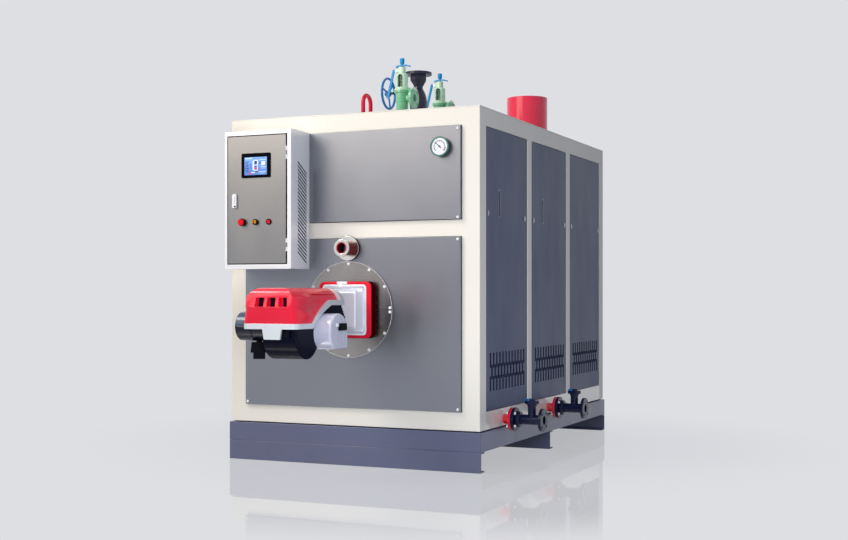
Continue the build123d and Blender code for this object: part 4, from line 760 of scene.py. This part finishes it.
# Pressure gauge
dial_x, dial_z = 0.614, 1.915
dial_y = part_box("gauge_dial")[0][1]


def dial_mark(bm, turn, inner, outer, width, lift=0.0004):
    """A bar on the dial between two radii, turned from twelve o'clock clockwise."""
    place = (
        Matrix.Translation((dial_x, dial_y - lift / 2, dial_z)) @ Matrix.Rotation(radians(turn), 4, "Y")
        @ Matrix.Translation((0, 0, (inner + outer) / 2)) @ Matrix.Diagonal((width, lift, outer - inner, 1))
    )
    bmesh.ops.create_cube(bm, size=1.0, matrix=place)


scale_sweep = 270
scale_divisions, marks_to_a_number = 50, 5
scale_outer, long_inner, short_inner = 0.0345, 0.0270, 0.0305
long_width, short_width = 0.0020, 0.0010
arc_steps, arc_inner, arc_outer, arc_bar = 90, 0.0348, 0.0366, 0.0024
band_start, band_step, band_steps = 100, 3, 12
band_inner, band_outer = 0.0384, 0.0412
needle_turn, needle_tail, needle_tip, needle_width, needle_lift = -48, -0.014, 0.034, 0.0042, 0.0022
hub_radius, hub_height = 0.0052, 0.0030
bm = bmesh.new()
for index in range(scale_divisions + 1):
    turn = -scale_sweep / 2 + scale_sweep * index / scale_divisions
    if index % marks_to_a_number:
        dial_mark(bm, turn, short_inner, scale_outer, short_width)
    else:
        dial_mark(bm, turn, long_inner, scale_outer, long_width)
for index in range(arc_steps):
    turn = -scale_sweep / 2 + scale_sweep * (index + 0.5) / arc_steps
    dial_mark(bm, turn, arc_inner, arc_outer, arc_bar)
piece("gauge_scale", bm, plastic("dial_ink", srgb(44, 52, 70), 0.5), "boiler")
bm = bmesh.new()
for index in range(band_steps):
    dial_mark(bm, band_start + index * band_step, band_inner, band_outer, arc_bar)
piece("gauge_limit_band", bm, plastic("dial_red_ink", srgb(206, 70, 84), 0.5), "boiler")
bm = bmesh.new()
dial_mark(bm, needle_turn, needle_tail, needle_tip, needle_width, needle_lift)
disc(bm, (dial_x, dial_y, dial_z), forward, hub_radius, hub_height, sides=24)
piece("gauge_needle", bm, plastic("needle_black", srgb(22, 28, 44), 0.3), "boiler")

# Touch screen
screen_low, screen_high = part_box("touch_screen")
screen_face = screen_low[1]
display_width, display_height = 0.158, 0.109
display_left = (screen_low[0] + screen_high[0] - display_width) / 2
display_drop = 0.004
display_foot = (screen_low[2] + screen_high[2] - display_height) / 2 - display_drop
layer_step = 0.0002


def patches(name, finish, shapes, layer=1):
    """Patches of the display in one colour, their corners as shares of its width and height."""
    bm = bmesh.new()
    patch_face = screen_face - layer_step * layer - layer_step
    for left, foot, right, top in shapes:
        block(
            bm, (display_left + left * display_width, patch_face, display_foot + foot * display_height),
            (display_left + right * display_width, screen_face, display_foot + top * display_height),
        )
    piece(name, bm, finish, "cabinet_door")


display_top = display_foot + display_height
patches(
    "display_ground",
    lit("display_blue", srgb(84, 128, 214), 1.0, srgb(118, 172, 236), display_foot, display_top),
    [(0, 0, 1, 1)],
)
patches(
    "display_pale", lit("display_pale_blue", srgb(196, 220, 250), 0.95),
    [
        (0.03, 0.90, 0.36, 0.96), (0.66, 0.83, 0.96, 0.87), (0.62, 0.16, 0.97, 0.20),
        (0.66, 0.08, 0.90, 0.11), (0.72, 0.44, 0.96, 0.47), (0.74, 0.36, 0.93, 0.38),
        (0.36, 0.30, 0.40, 0.80),
    ],
    2,
)
patches(
    "display_column", lit("display_dark_blue", srgb(34, 60, 150), 0.9),
    [(0.03, 0.72 - 0.09 * row, 0.20 - 0.03 * (row % 2), 0.765 - 0.09 * row) for row in range(7)]
    + [(0.24, 0.56, 0.33, 0.60), (0.24, 0.44, 0.33, 0.48), (0.66, 0.62, 0.72, 0.72)],
    2,
)
patches(
    "display_white", lit("display_white", srgb(240, 244, 250), 0.95),
    [
        (0.40, 0.24, 0.43, 0.84), (0.57, 0.24, 0.60, 0.84), (0.43, 0.80, 0.57, 0.84),
        (0.43, 0.53, 0.57, 0.57), (0.43, 0.24, 0.57, 0.28), (0.76, 0.54, 0.92, 0.74),
        (0.30, 0.12, 0.46, 0.17),
    ],
    3,
)
patches(
    "display_dark", lit("display_ink", srgb(40, 44, 74), 0.8),
    [(0.45, 0.60, 0.55, 0.77), (0.46, 0.44, 0.54, 0.50), (0.40, 0.17, 0.60, 0.21)],
    3,
)
patches(
    "display_red", lit("display_red", srgb(222, 52, 60), 0.9),
    [(0.45, 0.31, 0.55, 0.42), (0.20, 0.04, 0.32, 0.11)],
    3,
)
patches("display_green", lit("display_green", srgb(84, 190, 130), 0.9), [(0.60, 0.04, 0.68, 0.10)], 3)

# Operators and handle on the cabinet door
button_z = 1.486
selector_x = -0.518
bar_half_width, bar_half_height, bar_front, bar_back = 0.003, 0.011, 0.0245, 0.0218
bm = bmesh.new()
# Place, bore, radius and length of each operator's sleeve
for x, inner, outer, depth in (
    (-0.610, 0.0112, 0.0232, 0.0190), (selector_x, 0.0103, 0.0182, 0.0150), (-0.426, 0.0122, 0.0182, 0.0068)
):
    ring(bm, (x, cabinet_front, button_z), forward, inner, outer, depth, sides=40)
piece("operator_sleeves", bm, looks["cover_black"], "cabinet_door", bevel=0.0008)
bm = bmesh.new()
block(
    bm, (selector_x - bar_half_width, cabinet_front - bar_front, button_z - bar_half_height),
    (selector_x + bar_half_width, cabinet_front - bar_back, button_z + bar_half_height),
)
piece("selector_bar", bm, looks["cover_black"], "cabinet_door", bevel=0.0006)
handle_low, handle_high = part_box("door_handle")
lock_x, lock_z = handle_high[0] - 0.0095, handle_low[2] + 0.010
lock_radius, lock_height = 0.0055, 0.0015
groove_left, groove_right = handle_low[0] + 0.020, handle_low[0] + 0.0215
groove_front, groove_back = handle_low[1] - 0.0006, handle_low[1] + 0.001
groove_foot, groove_top = handle_low[2] + 0.022, handle_high[2] - 0.010
bm = bmesh.new()
disc(bm, (lock_x, handle_low[1], lock_z), forward, lock_radius, lock_height, sides=24)
block(bm, (groove_left, groove_front, groove_foot), (groove_right, groove_back, groove_top))
piece("handle_lock", bm, looks["cover_black"], "cabinet_door")

# Painted shade: dark slanted strips above and below each slot in the cabinet's side, for the shade of the
# louvre lips
vent_count, vent_pitch, vent_width, vent_head = 25, 0.0228, 0.005, 0.190
vent_start, vent_run, vent_fall = 0.082, 0.109, 0.066
vent_shade_height, vent_shade_thickness, vent_shade_sink = 0.0026, 0.0012, 0.0002
slant = Matrix(((1, 0, 0, 0), (0, 1, 0, 0), (0, -vent_fall / vent_run, 1, 0), (0, 0, 0, 1)))
bm = bmesh.new()
for index in range(vent_count):
    head = cabinet_high[2] - vent_head - index * vent_pitch
    for z in (head + vent_shade_height / 2, head - vent_width - vent_shade_height / 2):
        place = (
            Matrix.Translation((cabinet_high[0] - vent_shade_sink, cabinet_front + vent_start, z)) @ slant
            @ Matrix.Translation((0, vent_run / 2, 0))
            @ Matrix.Diagonal((vent_shade_thickness, vent_run, vent_shade_height, 1))
        )
        bmesh.ops.create_cube(bm, size=1.0, matrix=place)
vent_shade_slate = plastic("vent_painted_shade_slate", srgb(46, 53, 74), 0.5, specular=0.05)
piece("cabinet_vent_painted_shade", bm, vent_shade_slate, "boiler")

# Bolts and blue caps of the blowdown valves
casing_side = casing_high[0]
valve_circle = 0.110
blowdown_y, blowdown_z = (-0.885, -0.020), 0.283
head_reach, nut_reach = 0.080, 0.042
cap_bore, cap_radius, cap_height = 0.016, 0.0204, 0.0115
heads, nuts, caps = (bmesh.new() for _ in range(3))
for y in blowdown_y:
    axis_place = Vector((casing_side, y, blowdown_z))
    head_centre = axis_place + Vector((head_reach, 0, 0))
    nut_centre = axis_place + Vector((nut_reach, 0, 0))
    bolt_ring(heads, head_centre, (1, 0, 0), valve_circle, count=4, across=0.015, height=0.009, first=pi / 4)
    bolt_ring(nuts, nut_centre, (-1, 0, 0), valve_circle, count=4, across=0.017, height=0.013, first=pi / 4)
stem_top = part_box("blowdown_valve_1")[1][2]
for number in (1, 2):
    low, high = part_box(f"blowdown_valve_{number}")
    stem_place = ((low[0] + high[0]) / 2, (low[1] + high[1]) / 2, stem_top - cap_height)
    ring(caps, stem_place, up, cap_bore, cap_radius, cap_height, sides=32)
piece("blowdown_joint_heads", heads, zinc_and_painted_highlight, "boiler", smooth=30)
piece("blowdown_joint_nuts", nuts, zinc_and_painted_highlight, "boiler", smooth=30)
piece("blowdown_cap_bands", caps, looks["wheel_blue"], "boiler", bevel=0.0006)

# Nuts and lever pins of the roof valves
roof_z = roof_high[2]
safety_valve_y, stop_valve_y = (-0.545, 0.090), -0.284
safety_flange_top, stop_flange_top = 0.018, 0.044
stop_circle = 0.145
pin_x, pin_z, ear_face = -0.040, 2.530, 0.0045
pin_radius, pin_length = 0.0065, 0.0085
bm = bmesh.new()
for y in safety_valve_y:
    nut_centre = (0, y, roof_z + safety_flange_top)
    bolt_ring(bm, nut_centre, up, valve_circle, count=4, across=0.016, height=0.012, first=pi / 4)
piece("safety_valve_nuts", bm, nut_zinc, "boiler", smooth=30)
nut_centre = (0, stop_valve_y, roof_z + stop_flange_top)
bm = bmesh.new()
bolt_ring(bm, nut_centre, up, stop_circle, count=8, across=0.014, height=0.010, first=pi / 8)
piece("stop_valve_foot_nuts", bm, nut_zinc, "boiler", smooth=30)
bm = bmesh.new()
for side in (-1, 1):
    for y in safety_valve_y:
        disc(bm, (pin_x, y + side * ear_face, pin_z), (0, side, 0), pin_radius, pin_length, head_sides)
piece("lever_pivot_pins", bm, nut_zinc, "boiler", bevel=0.0008)

# Floor, light and camera

backdrop = srgb(222, 223, 227)
floor_half_width, floor_drop = 60.0, 0.0005
bm = bmesh.new()
bmesh.ops.create_grid(bm, x_segments=1, y_segments=1, size=floor_half_width)
floor_mesh = bpy.data.meshes.new("studio_floor")
bm.to_mesh(floor_mesh)
bm.free()
floor = bpy.data.objects.new("studio_floor", floor_mesh)
scene.collection.objects.link(floor)
floor.location.z = cad_low[2] - floor_drop
floor_look = Finish("polished_studio_floor")
floor_look.shader.inputs["Base Color"].default_value = srgb(206, 207, 212)
floor_look.shader.inputs["Roughness"].default_value = 0.9
floor_look.shader.inputs["Specular IOR Level"].default_value = 0.0
bounce = floor_look.nodes.new("ShaderNodeBsdfDiffuse")
bounce.inputs["Color"].default_value = srgb(112, 113, 118)
mirror = floor_look.nodes.new("ShaderNodeBsdfGlossy")
mirror.inputs["Color"].default_value = (1.0, 1.0, 1.0, 1.0)
mirror.inputs["Roughness"].default_value = 0.03
pale = floor_look.nodes.new("ShaderNodeEmission")
pale.inputs["Color"].default_value = backdrop


def mixed(share, first, second):
    """Two shaders of the floor mixed by a share of the second."""
    mix = floor_look.nodes.new("ShaderNodeMixShader")
    floor_look.link(share, mix.inputs["Fac"])
    floor_look.link(first, mix.inputs[1])
    floor_look.link(second, mix.inputs[2])
    return mix.outputs["Shader"]


# The floor looks pale, and throws as little light up as a darker one
shadow_near, shadow_far, shadow_most = 1.2, 3.2, 0.14
mirror_near, mirror_far, mirror_most = 2.8, 3.8, 0.28
seen_by = floor_look.nodes.new("ShaderNodeLightPath")
shown_ray = floor_look.math("MAXIMUM", seen_by.outputs["Is Camera Ray"], seen_by.outputs["Is Glossy Ray"])
shown_ray = floor_look.math("MAXIMUM", shown_ray, seen_by.outputs["Is Transmission Ray"])
distance = floor_look.nodes.new("ShaderNodeVectorMath")
distance.operation = "LENGTH"
floor_look.link(floor_look.place, distance.inputs[0])
far = distance.outputs["Value"]
shadow_share = floor_look.remap(far, shadow_near, shadow_far, shadow_most, 0.0)
mirror_share = floor_look.remap(far, mirror_near, mirror_far, mirror_most, 0.0)
# The mirror fades out to the left and behind, where it would show the lamps
for letter, gone, whole in (("X", -1.7, -1.2), ("Y", 1.8, 1.4)):
    side_fade = floor_look.remap(floor_look.axis(letter), gone, whole, 0.0, 1.0)
    mirror_share = floor_look.math("MULTIPLY", mirror_share, side_fade)
polished_floor = mixed(mirror_share, pale.outputs["Emission"], mirror.outputs["BSDF"])
shown_floor = mixed(shadow_share, polished_floor, floor_look.shader.outputs["BSDF"])
whole_floor = mixed(shown_ray, bounce.outputs["BSDF"], shown_floor)
floor_look.link(whole_floor, floor_look.nodes["Material Output"].inputs["Surface"])
floor_mesh.materials.append(floor_look.material)

world = bpy.data.worlds.new("studio")
scene.world = world
world.use_nodes = True
sky = world.node_tree
sky.nodes.clear()
shown = sky.nodes.new("ShaderNodeBackground")
shown.inputs["Color"].default_value = backdrop
ambient = sky.nodes.new("ShaderNodeBackground")
ambient.inputs["Color"].default_value = srgb(206, 214, 236)
ambient.inputs["Strength"].default_value = 0.30
path = sky.nodes.new("ShaderNodeLightPath")
seen = path.outputs["Is Camera Ray"]
for kind in ("Is Glossy Ray", "Is Transmission Ray"):
    either = sky.nodes.new("ShaderNodeMath")
    either.operation = "MAXIMUM"
    sky.links.new(seen, either.inputs[0])
    sky.links.new(path.outputs[kind], either.inputs[1])
    seen = either.outputs[0]
sky_mix = sky.nodes.new("ShaderNodeMixShader")
sky.links.new(seen, sky_mix.inputs["Fac"])
sky.links.new(ambient.outputs["Background"], sky_mix.inputs[1])
sky.links.new(shown.outputs["Background"], sky_mix.inputs[2])
sky_out = sky.nodes.new("ShaderNodeOutputWorld")
sky.links.new(sky_mix.outputs["Shader"], sky_out.inputs["Surface"])
scene.view_settings.view_transform = "Standard"

# Place, target, width, height, power and colour of each lamp, and whether glossy surfaces show it
for name, place, target, width, height, watts, color, mirrored in (
    ("key_box", (-3.0, -4.2, 5.2), (0, -1.3, 1.5), 1.8, 1.8, 172, (1.0, 0.98, 0.95), True),
    ("panel_box", (-3.0, -6.2, 4.1), (-0.2, -1.3, 1.6), 5.0, 3.0, 135, (1.0, 0.87, 0.68), True),
    ("fill_box", (1.7, -4.4, 1.0), (0, -1.3, 0.8), 1.4, 1.4, 70, (0.90, 0.94, 1.0), False),
    ("low_side_box", (3.6, -1.0, 0.3), (0.85, -0.6, 0.3), 1.8, 0.6, 12, (0.80, 0.86, 1.0), False),
    ("top_box", (0.3, 0.6, 6.0), (0, 0, 2.1), 3.0, 3.0, 55, (1.0, 1.0, 1.0), False),
    ("rear_box", (-1.5, 6.5, 3.0), (0, 1.3, 1.1), 3.0, 3.0, 190, (1.0, 0.99, 0.97), False),
):
    data = bpy.data.lights.new(name, "AREA")
    data.shape = "RECTANGLE"
    data.size = width
    data.size_y = height
    data.energy = watts
    data.color = color
    lamp = bpy.data.objects.new(name, data)
    lamp.location = place
    lamp.visible_glossy = mirrored
    lamp.rotation_euler = (Vector(target) - Vector(place)).to_track_quat("-Z", "Y").to_euler()
    scene.collection.objects.link(lamp)

camera_data = bpy.data.cameras.new("photo_camera")
camera_data.lens = 53.47
camera_data.sensor_width = 36.0
camera_data.shift_x = 0.0
camera_data.shift_y = 0.0282
camera_data.clip_end = 200.0
camera = bpy.data.objects.new("photo_camera", camera_data)
camera.location = (3.5387, -8.1406, 1.0480)
camera.rotation_euler = (radians(90), 0, radians(23.988))
scene.collection.objects.link(camera)
scene.camera = camera
